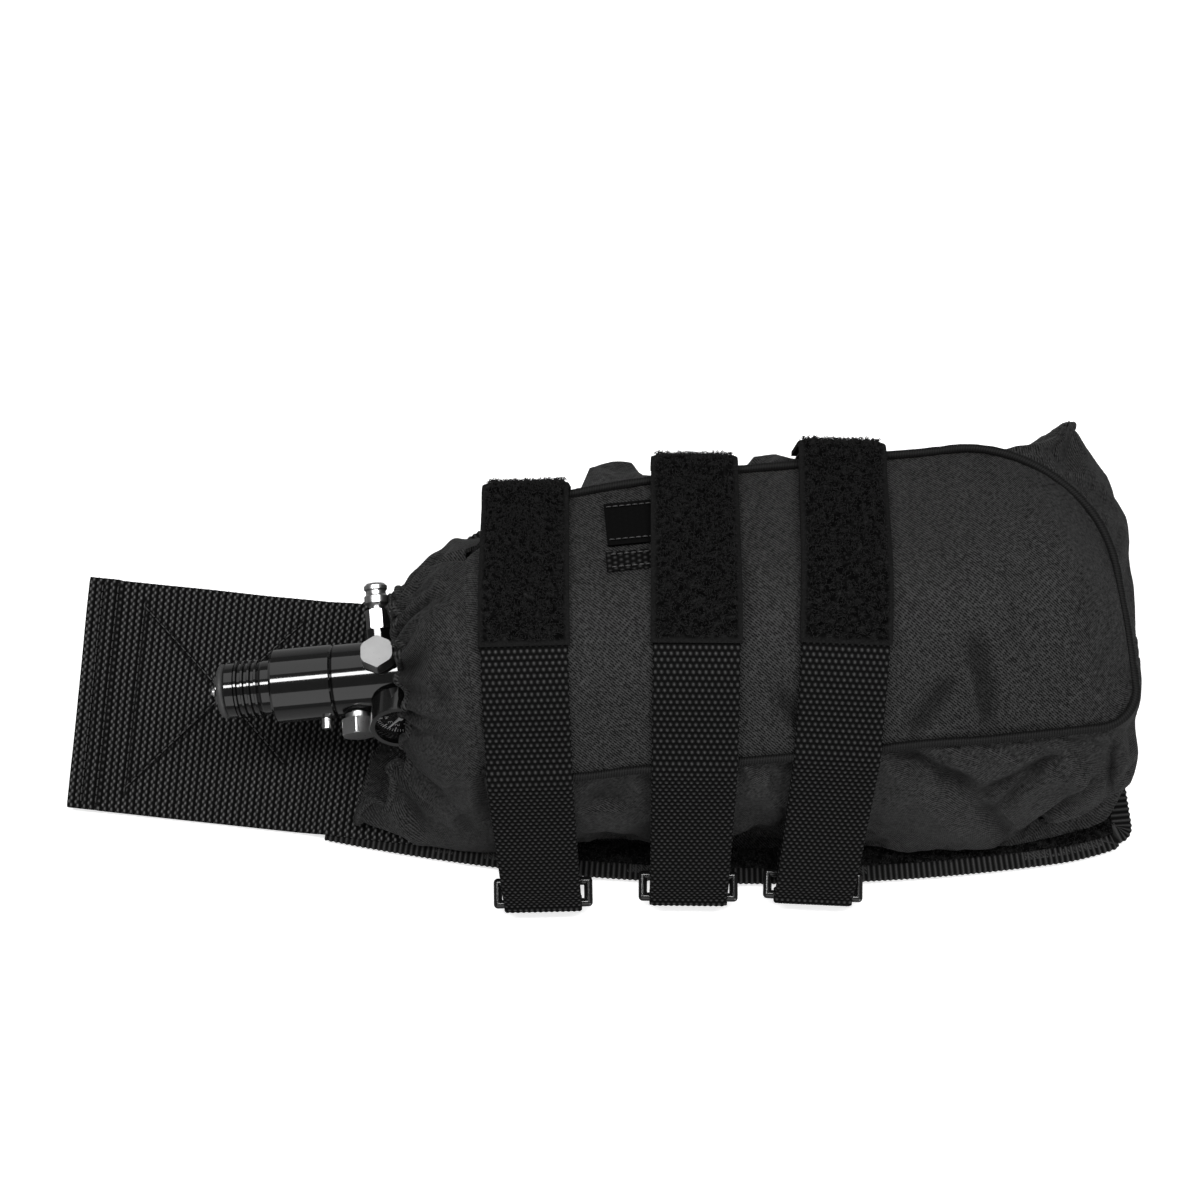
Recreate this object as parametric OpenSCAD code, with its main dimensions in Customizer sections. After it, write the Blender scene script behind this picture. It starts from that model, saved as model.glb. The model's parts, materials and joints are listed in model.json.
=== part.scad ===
// Air bottle with its pressure regulator, held in a padded belt pouch.
// The pouch lies on its back panel. +Z points out of its front, +X runs along the bottle to
// the closed end, and +Y points to the side where the three straps are sewn on.
// The origin is on the back face, under the middle of the bottle's axis.

/* [Bottle] */
// Diameter of the bottle
bottle_d = 89; // [84:1:89]
// Length of the bottle from its neck face to its closed end
bottle_len = 231; // [215:1:231]
// Wall thickness of the bottle
bottle_wall = 4.5; // [3:0.5:6]
// Diameter of the bottle's neck
neck_d = 30; // [26:1:32]

/* [Regulator] */
// Diameter of the regulator's body
body_d = 26; // [25.4:0.1:27]
// Diameter of the regulator's bonnet
bonnet_d = 26.6; // [26:0.1:27]
// Major diameter of the output thread on the nozzle
nozzle_thread_d = 20.9; // [20.5:0.1:21.2]
// Width across flats of the burst plugs
plug_flats = 11; // [10:0.5:12]
// Diameter of the gauge
gauge_d = 21; // [19:0.5:21]
// Turn of the gauge about the bottle's axis, from straight up
gauge_turn = -60; // [-72:1:-58]
// Turn of the fill nipple about the bottle's axis, from straight up
nipple_turn = 85; // [75:1:95]
// Turn of the front burst plug about the bottle's axis, from straight up
plug_turn = 15; // [5:1:20]

/* [Pouch] */
// Height of the bottle's axis over the back face
axis_z = 54; // [53.6:0.2:54.4]
// Thickness of the padded back panel
panel_t = 5; // [4:0.2:5]
// Height of the piping over the back face
piping_z = 80; // [79:0.5:80]
// Diameter of the corded piping
piping_d = 3; // [2:0.5:3]
// Height of the front panel's crown over the back face
crown_z = 101.4; // [101.4:0.2:103]
// Thickness of the pouch's fabric
fabric_t = 1.5; // [1:0.1:1.6]
// Where the front panel ends, on the closed side
pouch_end_x = 112; // [112:0.2:116]

/* [Straps] */
// Width of the strap webbing
strap_w = 30; // [25:1:30]
// Thickness of the strap webbing
strap_t = 1.6; // [1.2:0.1:1.6]
// Tilt of the middle strap across the bottle
strap_tilt = 5.8; // [5:0.2:6.6]
// Wire diameter of the strap rings
wire_d = 3.2; // [2.4:0.2:3.2]

/* [Belt wing] */
// Width of the belt webbing
wing_w = 91; // [80:1:91]
// Length of the belt webbing beyond the pouch
wing_len = 104; // [80:1:130]
// Fall of the belt webbing towards the pouch
wing_tilt = 11.4; // [8:0.2:14]
// Skew of the belt webbing's cut end
wing_skew = 4.5; // [0:0.5:8]

/* [Hidden] */
$fn = 48;

// Clearances between neighbouring solids
fit_gap = 0.05;
rest_gap = 0.1;

// Places along the bottle's axis
seam_x = -164;
neck_x = -124;
pouch_start_x = -112;
cuff_mouth_x = -138;
flange_s = neck_x - seam_x - fit_gap;

// Bottle
bottle_r = bottle_d / 2;
neck_bore_r = 7.95;
neck_len = 12;
shoulder_len = 27;
dome_len = 22;
dome_flat_r = 14.5;
shoulder_core_r = 8;

// Regulator, measured along its axis from the seam between bonnet and body
body_r = body_d / 2;
bonnet_r = bonnet_d / 2;
stem_r = 3;
chamber_r = 10.6;
snout_r = 10.95;
snout_len = 6;
nose_s = -42.4;
thread_pitch = 2.4;
thread_start_s = -35.6;
bonnet_front_s = -22.2;
thread_root_r = nozzle_thread_d / 2 - 1.05;
piston_head_s = -18;
piston_back_s = -13.5;
piston_end_s = 12;
pin_r = 1.55;
pin_chamber_r = 3.2;
pin_head_s = -32.9;
retainer_s = -20.5;

// Places of the fittings along the regulator
plug_s = 17.8;
low_plug_s = 7.4;
nipple_s = 16.5;
gauge_s = 23.5;
vent_s = -4.2;
low_plug_turn = -85;
plug_port_r = 3.5;
big_port_r = 4;
port_floor = 7;
nipple_boss_h = 17.2;

// Crown of the front panel: an arc through the two runs of piping
piping_y_top = 57;
piping_y_low = -45.6;
crown_y = (piping_y_top + piping_y_low) / 2;
crown_half = (piping_y_top - piping_y_low) / 2;
crown_h = crown_z - piping_z;
crown_r = (crown_half * crown_half + crown_h * crown_h) / (2 * crown_h);
crown_base_z = crown_z - crown_r;
top_corner_r = 44;
low_corner_r = 14;
seam_inset = 1.6;
end_arc_x = 80;
end_arc_len = pouch_end_x - end_arc_x;
end_arc_r = (end_arc_len * end_arc_len + crown_h * crown_h) / (2 * crown_h);
gusset_foot_y = [67, -63];

// Back panel
panel_top_y = 72;
panel_end_x = 126;
panel_corner = 7;
edge_low_y = -85.6;
edge_low_x = 62;
edge_bend = 0.00058;
binding_w = 3;
binding_t = panel_t + 0.4;
panel_skin_t = 1;
padding_inset = 9;
padding_start_x = -160;
hook_strip_t = 1.5;
hinge_x = -171;
hinge_y = -5;

// Straps
strap_x = [-93, -35.5, 14.5];
tilt_step = 2;
ring_y = [-83.2, -86.1, -90.4];
ring_z = 8.6;
ring_h = 8;
ring_w = strap_w + 4;
base_lift = 2.4;
pad_lift = 4.25;
pad_t = 1.95;
pad_drop = 12;
tail_lift = 4.1;
piping_lift = 2.6;
wrap_r = wire_d / 2 + 0.15 + strap_t / 2;
pad_end_turn = [97.3, 100.5, 104.3];
tail_gap_turn = 1;

// ---- Shared shapes ----

// Points on an elliptical arc
function arc(centre, rx, ry, from, to, steps) = [
    for (i = [0 : steps])
        let (a = from + (to - from) * i / steps)
        [centre[0] + rx * cos(a), centre[1] + ry * sin(a)]
];

function reversed(list) = [for (i = [len(list) - 1 : -1 : 0]) list[i]];

// Unit normal to the left of the path at point i
function path_normal(path, i) =
    let (
        before = path[max(i - 1, 0)],
        after = path[min(i + 1, len(path) - 1)],
        run = after - before
    )
    [-run[1], run[0]] / norm(run);

// Outline of a strip of thickness t whose middle follows the path
function strip(path, t) =
    let (
        left = [for (i = [0 : len(path) - 1]) path[i] + path_normal(path, i) * t / 2],
        right = [for (i = [0 : len(path) - 1]) path[i] - path_normal(path, i) * t / 2]
    )
    concat(left, reversed(right));

// Round piece about the bottle's axis: profile points are [radius, distance from the seam]
module revolve(profile) {
    translate([seam_x, 0, axis_z])
        rotate([0, 90, 0])
            rotate_extrude($fn = 96)
                polygon(profile);
}

// O-ring about the bottle's axis
module axial_o_ring(s, ring_r, cord_r) {
    translate([seam_x, 0, axis_z])
        rotate([0, 90, 0])
            rotate_extrude($fn = 96)
                translate([ring_r, s])
                    circle(cord_r);
}

// Stands its children on the bottle's axis at distance s from the seam, pointing outwards
module radial(s, turn) {
    translate([seam_x + s, 0, axis_z])
        rotate([-turn, 0, 0])
            children();
}

module tube(r, bore, from, to) {
    difference() {
        translate([0, 0, from])
            cylinder(r = r, h = to - from);
        translate([0, 0, from - 1])
            cylinder(r = bore, h = to - from + 2);
    }
}

module rod(r, from, to) {
    translate([0, 0, from])
        cylinder(r = r, h = to - from);
}

// Hexagonal nut with both ends chamfered
module hex_nut(flats, from, to) {
    intersection() {
        translate([0, 0, from])
            cylinder(d = flats / cos(30), h = to - from, $fn = 6);
        translate([0, 0, from])
            rotate_extrude()
                polygon([
                    [0, 0], [flats / 2 + 0.3, 0], [flats / 2 + 0.7, 0.4],
                    [flats / 2 + 0.7, to - from - 0.4], [flats / 2 + 0.3, to - from], [0, to - from]
                ]);
    }
}

// Coil spring along Z
module coil(coil_r, wire_r, from, to, turns) {
    steps = 20;
    sides = 6;
    rings = steps * turns;
    rise = to - from - 2 * wire_r;
    points = [
        for (i = [0 : rings], k = [0 : sides - 1])
            let (a = 360 * i / steps, b = 360 * k / sides, r = coil_r + wire_r * cos(b))
            [r * cos(a), r * sin(a), from + wire_r + rise * i / rings + wire_r * sin(b)]
    ];
    walls = [
        for (i = [0 : rings - 1], k = [0 : sides - 1])
            let (n = (k + 1) % sides)
            [i * sides + k, (i + 1) * sides + k, (i + 1) * sides + n, i * sides + n]
    ];
    first_end = [for (k = [0 : sides - 1]) k];
    last_end = [for (k = [sides - 1 : -1 : 0]) rings * sides + k];
    polyhedron(points, concat([first_end], walls, [last_end]));
}

// Extrudes a profile, drawn in [y, z], along X
module extrude_x(from, to) {
    translate([from, 0, 0])
        rotate([90, 0, 90])
            linear_extrude(to - from)
                children();
}

// ---- Bottle ----

// Outline of the bottle's outside, or of its cavity when inset by the wall
function bottle_side(inset) = concat(
    arc([shoulder_core_r, neck_len + shoulder_len],
        bottle_r - shoulder_core_r - inset, -(shoulder_len - inset), 78, 0, 12),
    arc([dome_flat_r, bottle_len - dome_len],
        bottle_r - dome_flat_r - inset, dome_len - inset, 0, 90, 12),
    [[0, bottle_len - inset]]
);

module bottle() {
    cavity = bottle_side(bottle_wall);
    neck_outside = [[10.6, 0], [neck_d / 2, 0], [neck_d / 2, neck_len]];
    neck_inside = [
        [neck_bore_r, cavity[0][1]], [neck_bore_r, 2.4], [10.6, 2.4]
    ];
    profile = concat(neck_outside, bottle_side(0), reversed(cavity), neck_inside);
    color([0.07, 0.07, 0.08])
        translate([neck_x, 0, axis_z])
            rotate([0, 90, 0])
                rotate_extrude($fn = 96)
                    polygon(profile);
}

module neck_o_ring() {
    color([0.05, 0.05, 0.05])
        axial_o_ring(flange_s + fit_gap + 1.2, 9.3, 1.1);
}

// ---- Regulator ----

module regulator_body() {
    profile = [
        [stem_r + fit_gap, -snout_len], [snout_r, -snout_len], [snout_r, 0],
        [body_r - 0.6, 0], [body_r, 0.6], [body_r, flange_s - 3.6], [body_r - 0.6, flange_s - 3],
        [12, flange_s - 3], [12, flange_s], [7.9, flange_s], [7.9, flange_s + 14],
        [7.3, flange_s + 15], [2, flange_s + 15], [2, 16], [3.25, 16], [3.25, 11],
        [stem_r + fit_gap, 11]
    ];
    color([0.04, 0.04, 0.045])
        difference() {
            union() {
                revolve(profile);
                radial(nipple_s, nipple_turn)
                    rod(5, body_r - 4, nipple_boss_h);
            }
            radial(plug_s, plug_turn)
                rod(plug_port_r, port_floor, body_r + 1);
            radial(plug_s, plug_turn)
                rod(1, 1, port_floor + 1);
            radial(low_plug_s, low_plug_turn)
                rod(plug_port_r, port_floor, body_r + 1);
            radial(nipple_s, nipple_turn)
                rod(big_port_r, port_floor - 2, nipple_boss_h + 1);
            radial(nipple_s, nipple_turn)
                rod(1, 1, port_floor);
            radial(gauge_s, gauge_turn)
                rod(big_port_r, port_floor - 2, body_r + 1);
            radial(gauge_s, gauge_turn)
                rod(1, 1, port_floor);
            // Passage from the low burst plug to the bonnet
            radial(0, low_plug_turn)
                translate([-snout_len - 1, 0, 8.6])
                    rotate([0, 90, 0])
                        cylinder(r = 0.8, h = low_plug_s + snout_len);
        }
}

// One turn of the nozzle's thread, drawn as a ridge
function thread_ridge(s) = [
    [thread_root_r, s + 0.2], [nozzle_thread_d / 2, s + 0.6],
    [nozzle_thread_d / 2, s + 1.3], [thread_root_r, s + 1.7]
];

module regulator_bonnet() {
    nose = [
        [pin_r + fit_gap, nose_s], [7.6, nose_s], [8, nose_s + 0.4], [8, nose_s + 0.8],
        [7.3, nose_s + 0.8], [7.3, nose_s + 3.4], [9.4, nose_s + 3.4], [9.9, nose_s + 3.9],
        [9.9, thread_start_s]
    ];
    ridges = [for (i = [0 : 3], p = thread_ridge(thread_start_s + i * thread_pitch)) p];
    barrel = [
        [thread_root_r + 0.3, -25.6], [thread_root_r + 0.3, bonnet_front_s],
        [bonnet_r - 1, bonnet_front_s], [bonnet_r, bonnet_front_s + 1],
        [bonnet_r, -0.85], [bonnet_r - 0.8, -fit_gap]
    ];
    bore = [
        [snout_r + fit_gap, -fit_gap], [snout_r + fit_gap, -snout_len - rest_gap],
        [chamber_r, -snout_len - rest_gap], [chamber_r, -19], [pin_chamber_r, -19],
        [pin_chamber_r, -34], [pin_r + fit_gap, -34]
    ];
    color([0.04, 0.04, 0.045])
        difference() {
            revolve(concat(nose, ridges, barrel, bore));
            radial(vent_s, -90)
                rod(1.5, snout_r - 1, bonnet_r + 1);
        }
}

module nozzle_o_ring() {
    color([0.1, 0.1, 0.1])
        axial_o_ring(nose_s + 2.1, 8.6, 1.2);
}

module piston() {
    wall_r = chamber_r - fit_gap;
    groove_r = 8.9;
    profile = [
        [1, piston_head_s], [wall_r - 1, piston_head_s], [wall_r, piston_head_s + 1],
        [wall_r, -16.7], [groove_r, -16.7], [groove_r, -14.9], [wall_r, -14.9],
        [wall_r, piston_back_s], [stem_r, piston_back_s],
        [stem_r, piston_end_s - 1], [1.6, piston_end_s], [1, piston_end_s]
    ];
    color([0.75, 0.68, 0.45])
        revolve(profile);
}

module piston_o_ring() {
    color([0.05, 0.05, 0.05])
        axial_o_ring(-15.8, 9.73, 0.78);
}

// Six cone washers stacked front to front and back to back
module piston_springs() {
    washer_pitch = 1.2;
    washer_t = 0.6;
    washer_rise = 0.5;
    inner_r = 3.4;
    outer_r = 9.8;
    color([0.6, 0.6, 0.62])
        for (i = [0 : 5]) {
            s = piston_back_s + rest_gap + i * washer_pitch;
            lean_in = (i % 2 == 0) ? 0 : washer_rise;
            lean_out = washer_rise - lean_in;
            revolve([
                [inner_r, s + lean_in], [outer_r, s + lean_out],
                [outer_r, s + lean_out + washer_t], [inner_r, s + lean_in + washer_t]
            ]);
        }
}

module valve_seat() {
    color([0.9, 0.9, 0.86])
        revolve([[1.1, 12.9], [3.2, 12.9], [3.2, 16 - fit_gap], [1.1, 16 - fit_gap]]);
}

module pin_valve() {
    color([0.8, 0.8, 0.82])
        revolve([
            [0, nose_s - 2.6], [1, nose_s - 2.6], [pin_r, nose_s - 2], [pin_r, pin_head_s],
            [2.9, pin_head_s], [2.9, pin_head_s + 2.4], [1.2, pin_head_s + 2.4], [1.2, -26], [0, -26]
        ]);
}

module pin_valve_seal() {
    color([0.05, 0.05, 0.05])
        axial_o_ring(pin_head_s - 0.55, 2.25, 0.5);
}

module pin_valve_spring() {
    color([0.7, 0.7, 0.72])
        translate([seam_x, 0, axis_z])
            rotate([0, 90, 0])
                coil(2.2, 0.35, pin_head_s + 2.5, retainer_s - rest_gap, 6);
}

module pin_valve_retainer() {
    color([0.78, 0.66, 0.35])
        revolve([
            [1.3, retainer_s], [pin_chamber_r - fit_gap, retainer_s],
            [pin_chamber_r - fit_gap, -19 - rest_gap], [1.3, -19 - rest_gap]
        ]);
}

module vent_screw() {
    color([0.75, 0.75, 0.77])
        radial(vent_s, -90)
            difference() {
                union() {
                    rod(1.45, snout_r + rest_gap, bonnet_r + 0.2);
                    rod(1.8, bonnet_r + 0.05, bonnet_r + 3.6);
                }
                translate([0, 0, bonnet_r + 2])
                    cylinder(r = 0.9, h = 2, $fn = 6);
            }
}

// ---- Fittings on the regulator ----

module fill_nipple() {
    color([0.8, 0.8, 0.82])
        radial(nipple_s, nipple_turn)
            difference() {
                union() {
                    rod(big_port_r - fit_gap, 6, nipple_boss_h);
                    hex_nut(7.6, nipple_boss_h + rest_gap, 24.4);
                    rod(2.7, 20, 31);
                    translate([0, 0, 25.6])
                        rotate_extrude()
                            polygon([
                                [0, 0], [3.2, 0], [4.35, 1.2], [4.35, 3.6], [3.6, 4.4], [3.6, 5.6],
                                [4.2, 6.2], [4.2, 7.4], [3.2, 8.4], [0, 8.4]
                            ]);
                }
                rod(1.5, 5, 8);
                rod(2.3, 7.5, 20);
                rod(1.2, 19, 35);
            }
}

module fill_check_poppet() {
    color([0.78, 0.66, 0.35])
        radial(nipple_s, nipple_turn)
            union() {
                rod(2.25, 17, 19.4);
                rod(0.8, 14, 17.5);
            }
}

module fill_check_spring() {
    color([0.7, 0.7, 0.72])
        radial(nipple_s, nipple_turn)
            coil(1.7, 0.3, 8.1, 16.9, 5);
}

// Hex plug with a blind passage that vents through two holes in its flats
module burst_plug(s, turn) {
    vent_up = 17.5;
    color([0.82, 0.82, 0.84])
        radial(s, turn)
            difference() {
                union() {
                    rod(plug_port_r - fit_gap, 8.1, body_r + 0.5);
                    rod(4.6, body_r + 0.1, 15.5);
                    rotate([0, 0, 30])
                        hex_nut(plug_flats, 15, 21);
                }
                rod(1.1, 7, vent_up);
                translate([0, 0, vent_up])
                    rotate([0, 90, 0])
                        cylinder(r = 0.8, h = plug_flats + 2, center = true);
            }
}

module burst_disc(s, turn) {
    color([0.7, 0.45, 0.25])
        radial(s, turn)
            rod(plug_port_r - 0.1, 7.2, 7.9);
}

module front_burst_plug() {
    burst_plug(plug_s, plug_turn);
}

module front_burst_disc() {
    burst_disc(plug_s, plug_turn);
}

module low_burst_plug() {
    burst_plug(low_plug_s, low_plug_turn);
}

module low_burst_disc() {
    burst_disc(low_plug_s, low_plug_turn);
}

// ---- Gauge ----

gauge_r = gauge_d / 2;
gauge_wall = 0.8;

module gauge_case() {
    color([0.55, 0.56, 0.58])
        radial(gauge_s, gauge_turn)
            difference() {
                union() {
                    rod(big_port_r - fit_gap, 6, 14);
                    rod(gauge_r - 1, 13.6, 15);
                    rod(gauge_r, 14.6, 23.4);
                }
                rod(gauge_r - gauge_wall, 16.4, 24);
                rod(0.8, 5, 17);
            }
}

module gauge_dial() {
    color([0.92, 0.92, 0.9])
        radial(gauge_s, gauge_turn)
            tube(gauge_r - gauge_wall - 0.1, 0.5, 18.6, 19.1);
}

module gauge_needle() {
    pointer_start = -135;
    color([0.05, 0.05, 0.05])
        radial(gauge_s, gauge_turn)
            union() {
                rod(0.45, 17.9, 19.6);
                rod(0.9, 19.3, 20.5);
                rotate([0, 0, -pointer_start])
                    translate([0, 0, 19.6])
                        linear_extrude(0.4)
                            polygon([[-0.6, -2.4], [0.6, -2.4], [0.15, 7.2], [-0.15, 7.2]]);
            }
}

// Curved pressure tube behind the dial
module gauge_tube() {
    color([0.78, 0.66, 0.35])
        radial(gauge_s, gauge_turn)
            translate([0, 0, 17.4])
                rotate_extrude(angle = 250)
                    translate([6.5, 0])
                        circle(0.6);
}

module gauge_lens() {
    color([0.8, 0.85, 0.9, 0.4])
        radial(gauge_s, gauge_turn)
            rod(gauge_r - gauge_wall - 0.1, 21.6, 22.6);
}

module gauge_bezel() {
    color([0.85, 0.85, 0.87])
        radial(gauge_s, gauge_turn)
            union() {
                tube(gauge_r - gauge_wall - 0.1, gauge_r - 1.6, 22.7, 23.6);
                tube(gauge_r, gauge_r - 1.6, 23.45, 24.4);
            }
}

// ---- Back of the pouch ----

function low_edge_y(x) = edge_low_y + edge_bend * (x - edge_low_x) * (x - edge_low_x);

// Ends of the line where the belt wing leaves the panel
wing_side = [sin(wing_tilt), cos(wing_tilt)];
hinge_low = [hinge_x, hinge_y] - wing_side * wing_w / 2;
hinge_top = [hinge_x, hinge_y] + wing_side * wing_w / 2;

// Outline of the back panel, moved in from every bound edge
function panel_outline(inset) = concat(
    [hinge_low + wing_side * inset],
    [for (x = [-172 : 20 : 88]) [x, low_edge_y(x) + inset]],
    [
        [panel_end_x - panel_corner - inset, low_edge_y(panel_end_x) - 1.5 + inset],
        [panel_end_x - inset, low_edge_y(panel_end_x) + panel_corner + inset],
        [panel_end_x - inset, panel_top_y - inset], [-98, panel_top_y - inset],
        [-120, 61 - inset], [-136, 46 - inset], hinge_top - wing_side * inset
    ]
);

// Outline of the padding, kept clear of the hinge line as well
module padding_outline(inset) {
    intersection() {
        polygon(panel_outline(inset));
        translate([padding_start_x + inset, -100])
            square([300, 200]);
    }
}

module back_panel() {
    color([0.08, 0.08, 0.085])
        difference() {
            linear_extrude(panel_t)
                polygon(panel_outline(binding_w + fit_gap));
            translate([0, 0, panel_skin_t])
                linear_extrude(panel_t - 2 * panel_skin_t)
                    padding_outline(padding_inset);
        }
}

module back_foam() {
    color([0.3, 0.3, 0.32])
        translate([0, 0, panel_skin_t + fit_gap])
            linear_extrude(panel_t - 2 * (panel_skin_t + fit_gap))
                padding_outline(padding_inset + 0.5);
}

module edge_binding() {
    color([0.05, 0.05, 0.055])
        linear_extrude(binding_t)
            difference() {
                polygon(panel_outline(0));
                polygon(panel_outline(binding_w));
            }
}

// Fuzzy strip along the lower edge, cut away at the ring tabs
module hook_strip() {
    far = [for (x = [pouch_start_x : 10 : 118]) [x, low_edge_y(x) + 3.4]];
    near = [for (x = [pouch_start_x : 10 : 118]) [x, low_edge_y(x) + 11.5]];
    color([0.03, 0.03, 0.03])
        difference() {
            translate([0, 0, binding_t + fit_gap])
                linear_extrude(hook_strip_t)
                    polygon(concat(far, reversed(near)));
            for (k = [0 : 2])
                strap_frame(k)
                    translate([-19, -110, 0])
                        cube([38, 110 + ring_y[k] + ring_h + 8, 20]);
        }
}

// ---- Front and sides of the pouch ----

// Front panel's outline inside the piping
module rounded_front(from_z, to_z) {
    low = piping_y_low + seam_inset;
    top = piping_y_top - seam_inset;
    end = pouch_end_x - seam_inset;
    low_r = low_corner_r - seam_inset;
    top_r = top_corner_r - seam_inset;
    translate([0, 0, from_z])
        linear_extrude(to_z - from_z)
            polygon(concat(
                [[pouch_start_x, low]],
                arc([end - low_r, low + low_r], low_r, low_r, -90, 0, 6),
                arc([end - top_r, top - top_r], top_r, top_r, 0, 90, 12),
                [[pouch_start_x, top]]
            ));
}

// Space under the front panel, inset from its outer skin
module crown_solid(inset) {
    intersection() {
        extrude_x(pouch_start_x - 2, pouch_end_x + 2)
            translate([crown_y, crown_base_z])
                circle(crown_r - inset, $fn = 96);
        union() {
            translate([pouch_start_x - 2, -60, 40])
                cube([end_arc_x - pouch_start_x + 2, 120, crown_z + 10 - 40 - inset]);
            translate([end_arc_x, 60, crown_z - end_arc_r])
                rotate([90, 0, 0])
                    cylinder(r = end_arc_r - inset, h = 120, $fn = 96);
        }
    }
}

module front_panel() {
    color([0.16, 0.16, 0.17])
        difference() {
            intersection() {
                crown_solid(0);
                rounded_front(piping_z - 2, crown_z + 2);
            }
            crown_solid(fabric_t);
        }
}

// Side wall drawn from its foot on the back panel up to the piping
module gusset(foot, head) {
    extrude_x(pouch_start_x, pouch_end_x - 1)
        polygon(strip([foot, head], fabric_t));
}

module top_gusset() {
    color([0.14, 0.14, 0.15])
        gusset([gusset_foot_y[0], panel_t + 2.3], [piping_y_top - 0.5, piping_z - 2.4]);
}

module bottom_gusset() {
    color([0.14, 0.14, 0.15])
        gusset([gusset_foot_y[1], panel_t + 2.3], [piping_y_low + 0.5, piping_z - 2.4]);
}

module end_gusset() {
    color([0.14, 0.14, 0.15])
        extrude_x(pouch_end_x - 0.9, pouch_end_x - 0.9 + fabric_t)
            polygon([
                [gusset_foot_y[1] - 1, panel_t + 2.3], [gusset_foot_y[0] + 1, panel_t + 2.3],
                [piping_y_top - 1, piping_z - 2], [piping_y_low + 1, piping_z - 2]
            ]);
}

module piping_corner(centre, r, turn) {
    translate([centre[0], centre[1], piping_z])
        rotate([0, 0, turn])
            rotate_extrude(angle = 90)
                translate([r, 0])
                    circle(d = piping_d);
}

module piping_run(from, length, turn) {
    translate([from[0], from[1], piping_z])
        rotate([0, 90, turn])
            cylinder(d = piping_d, h = length);
}

module front_piping() {
    top_centre = [pouch_end_x - top_corner_r, piping_y_top - top_corner_r];
    low_centre = [pouch_end_x - low_corner_r, piping_y_low + low_corner_r];
    color([0.05, 0.05, 0.055])
        union() {
            piping_run([pouch_start_x, piping_y_top], top_centre[0] - pouch_start_x, 0);
            piping_run([pouch_start_x, piping_y_low], low_centre[0] - pouch_start_x, 0);
            piping_run([pouch_end_x, low_centre[1]], top_centre[1] - low_centre[1], 90);
            piping_corner(top_centre, top_corner_r, 0);
            piping_corner(low_centre, low_corner_r, -90);
        }
}

// Flat stop sewn on the front beside the middle strap
module keeper_tab() {
    color([0.05, 0.05, 0.055])
        intersection() {
            extrude_x(-66, -54)
                translate([crown_y, crown_base_z])
                    difference() {
                        circle(crown_r + 1.9, $fn = 96);
                        circle(crown_r + 0.1, $fn = 96);
                    }
            translate([-70, 24, 80])
                cube([20, 21, 25]);
        }
}

// ---- Elastic cuff round the regulator ----

cuff_mouth_s = cuff_mouth_x - seam_x;
cuff_root_s = pouch_start_x - seam_x - rest_gap;
cuff_mouth_r = 30;
cuff_root_r = 50;
cuff_hem_r = 3;

module cuff() {
    color([0.15, 0.15, 0.16])
        union() {
            difference() {
                union() {
                    axial_o_ring(cuff_mouth_s, cuff_mouth_r, cuff_hem_r);
                    revolve([
                        [cuff_mouth_r - 1, cuff_mouth_s], [cuff_mouth_r + 1, cuff_mouth_s],
                        [cuff_root_r, cuff_root_s], [cuff_root_r - 2, cuff_root_s]
                    ]);
                }
                axial_o_ring(cuff_mouth_s, cuff_mouth_r, 1.7);
                translate([-200, -100, -50])
                    cube([120, 200, 50 + panel_t + rest_gap]);
            }
            // Skirt lying on the back panel
            translate([0, 0, panel_t + rest_gap])
                linear_extrude(fabric_t)
                    polygon([
                        hinge_low + [5, 6], [-128, -52], [pouch_start_x - 1, -52],
                        [pouch_start_x - 1, 58], [-134, 40], hinge_top + [4, -6]
                    ]);
        }
}

module cuff_elastic() {
    color([0.25, 0.25, 0.25])
        axial_o_ring(cuff_mouth_s, cuff_mouth_r, 1.5);
}

// ---- Belt wing ----

// Webbing from its cut end, over the given length
module wing_outline(length) {
    shift = wing_w / 2 * tan(wing_skew);
    polygon([
        [-wing_len + shift, -wing_w / 2], [-wing_len + length, -wing_w / 2],
        [-wing_len + length, wing_w / 2], [-wing_len - shift, wing_w / 2]
    ]);
}

module belt_wing() {
    hem_w = 12;
    webbing_t = 2.4;
    color([0.1, 0.1, 0.11])
        translate([hinge_x, hinge_y, 0])
            rotate([0, 0, -wing_tilt])
                union() {
                    translate([0, 0, 1])
                        linear_extrude(webbing_t)
                            wing_outline(wing_len - 0.4);
                    translate([0, 0, 2])
                        linear_extrude(webbing_t + 1)
                            wing_outline(hem_w);
                }
}

// ---- Straps ----

// Local frame of strap k: Y runs along the strap, X across it
module strap_frame(k) {
    translate([strap_x[k], 0, 0])
        rotate([0, 0, -strap_tilt - (k - 1) * tilt_step])
            children();
}

// Arc that a strap layer makes over one run of piping
function over_piping(y, lift, from, to) =
    arc([y, piping_z], lift + piping_lift, lift + piping_lift, from, to, 3);

// Arc that a strap layer makes over the crown
function over_crown(lift, from, to) =
    arc([crown_y, crown_base_z], crown_r + lift, crown_r + lift, from, to, 12);

// Direction from the lower piping down to the ring of strap k, and the way out from it
function fall(k) = let (run = [ring_y[k] - piping_y_low, ring_z - piping_z]) run / norm(run);
function fall_turn(k) = atan2(-fall(k)[0], fall(k)[1]);
function fall_normal(k) = [fall(k)[1], -fall(k)[0]];

// Where a strap is sewn behind the panel's top edge, and the way out from its rise
strap_foot = [74.5, 2];
rise_turn = atan2(strap_foot[0] - piping_y_top, piping_z - strap_foot[1]);
rise_normal = [cos(rise_turn), sin(rise_turn)];

module strap_layer(k, path, width, t) {
    strap_frame(k)
        extrude_x(-width / 2, width / 2)
            polygon(strip(path, t));
}

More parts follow.
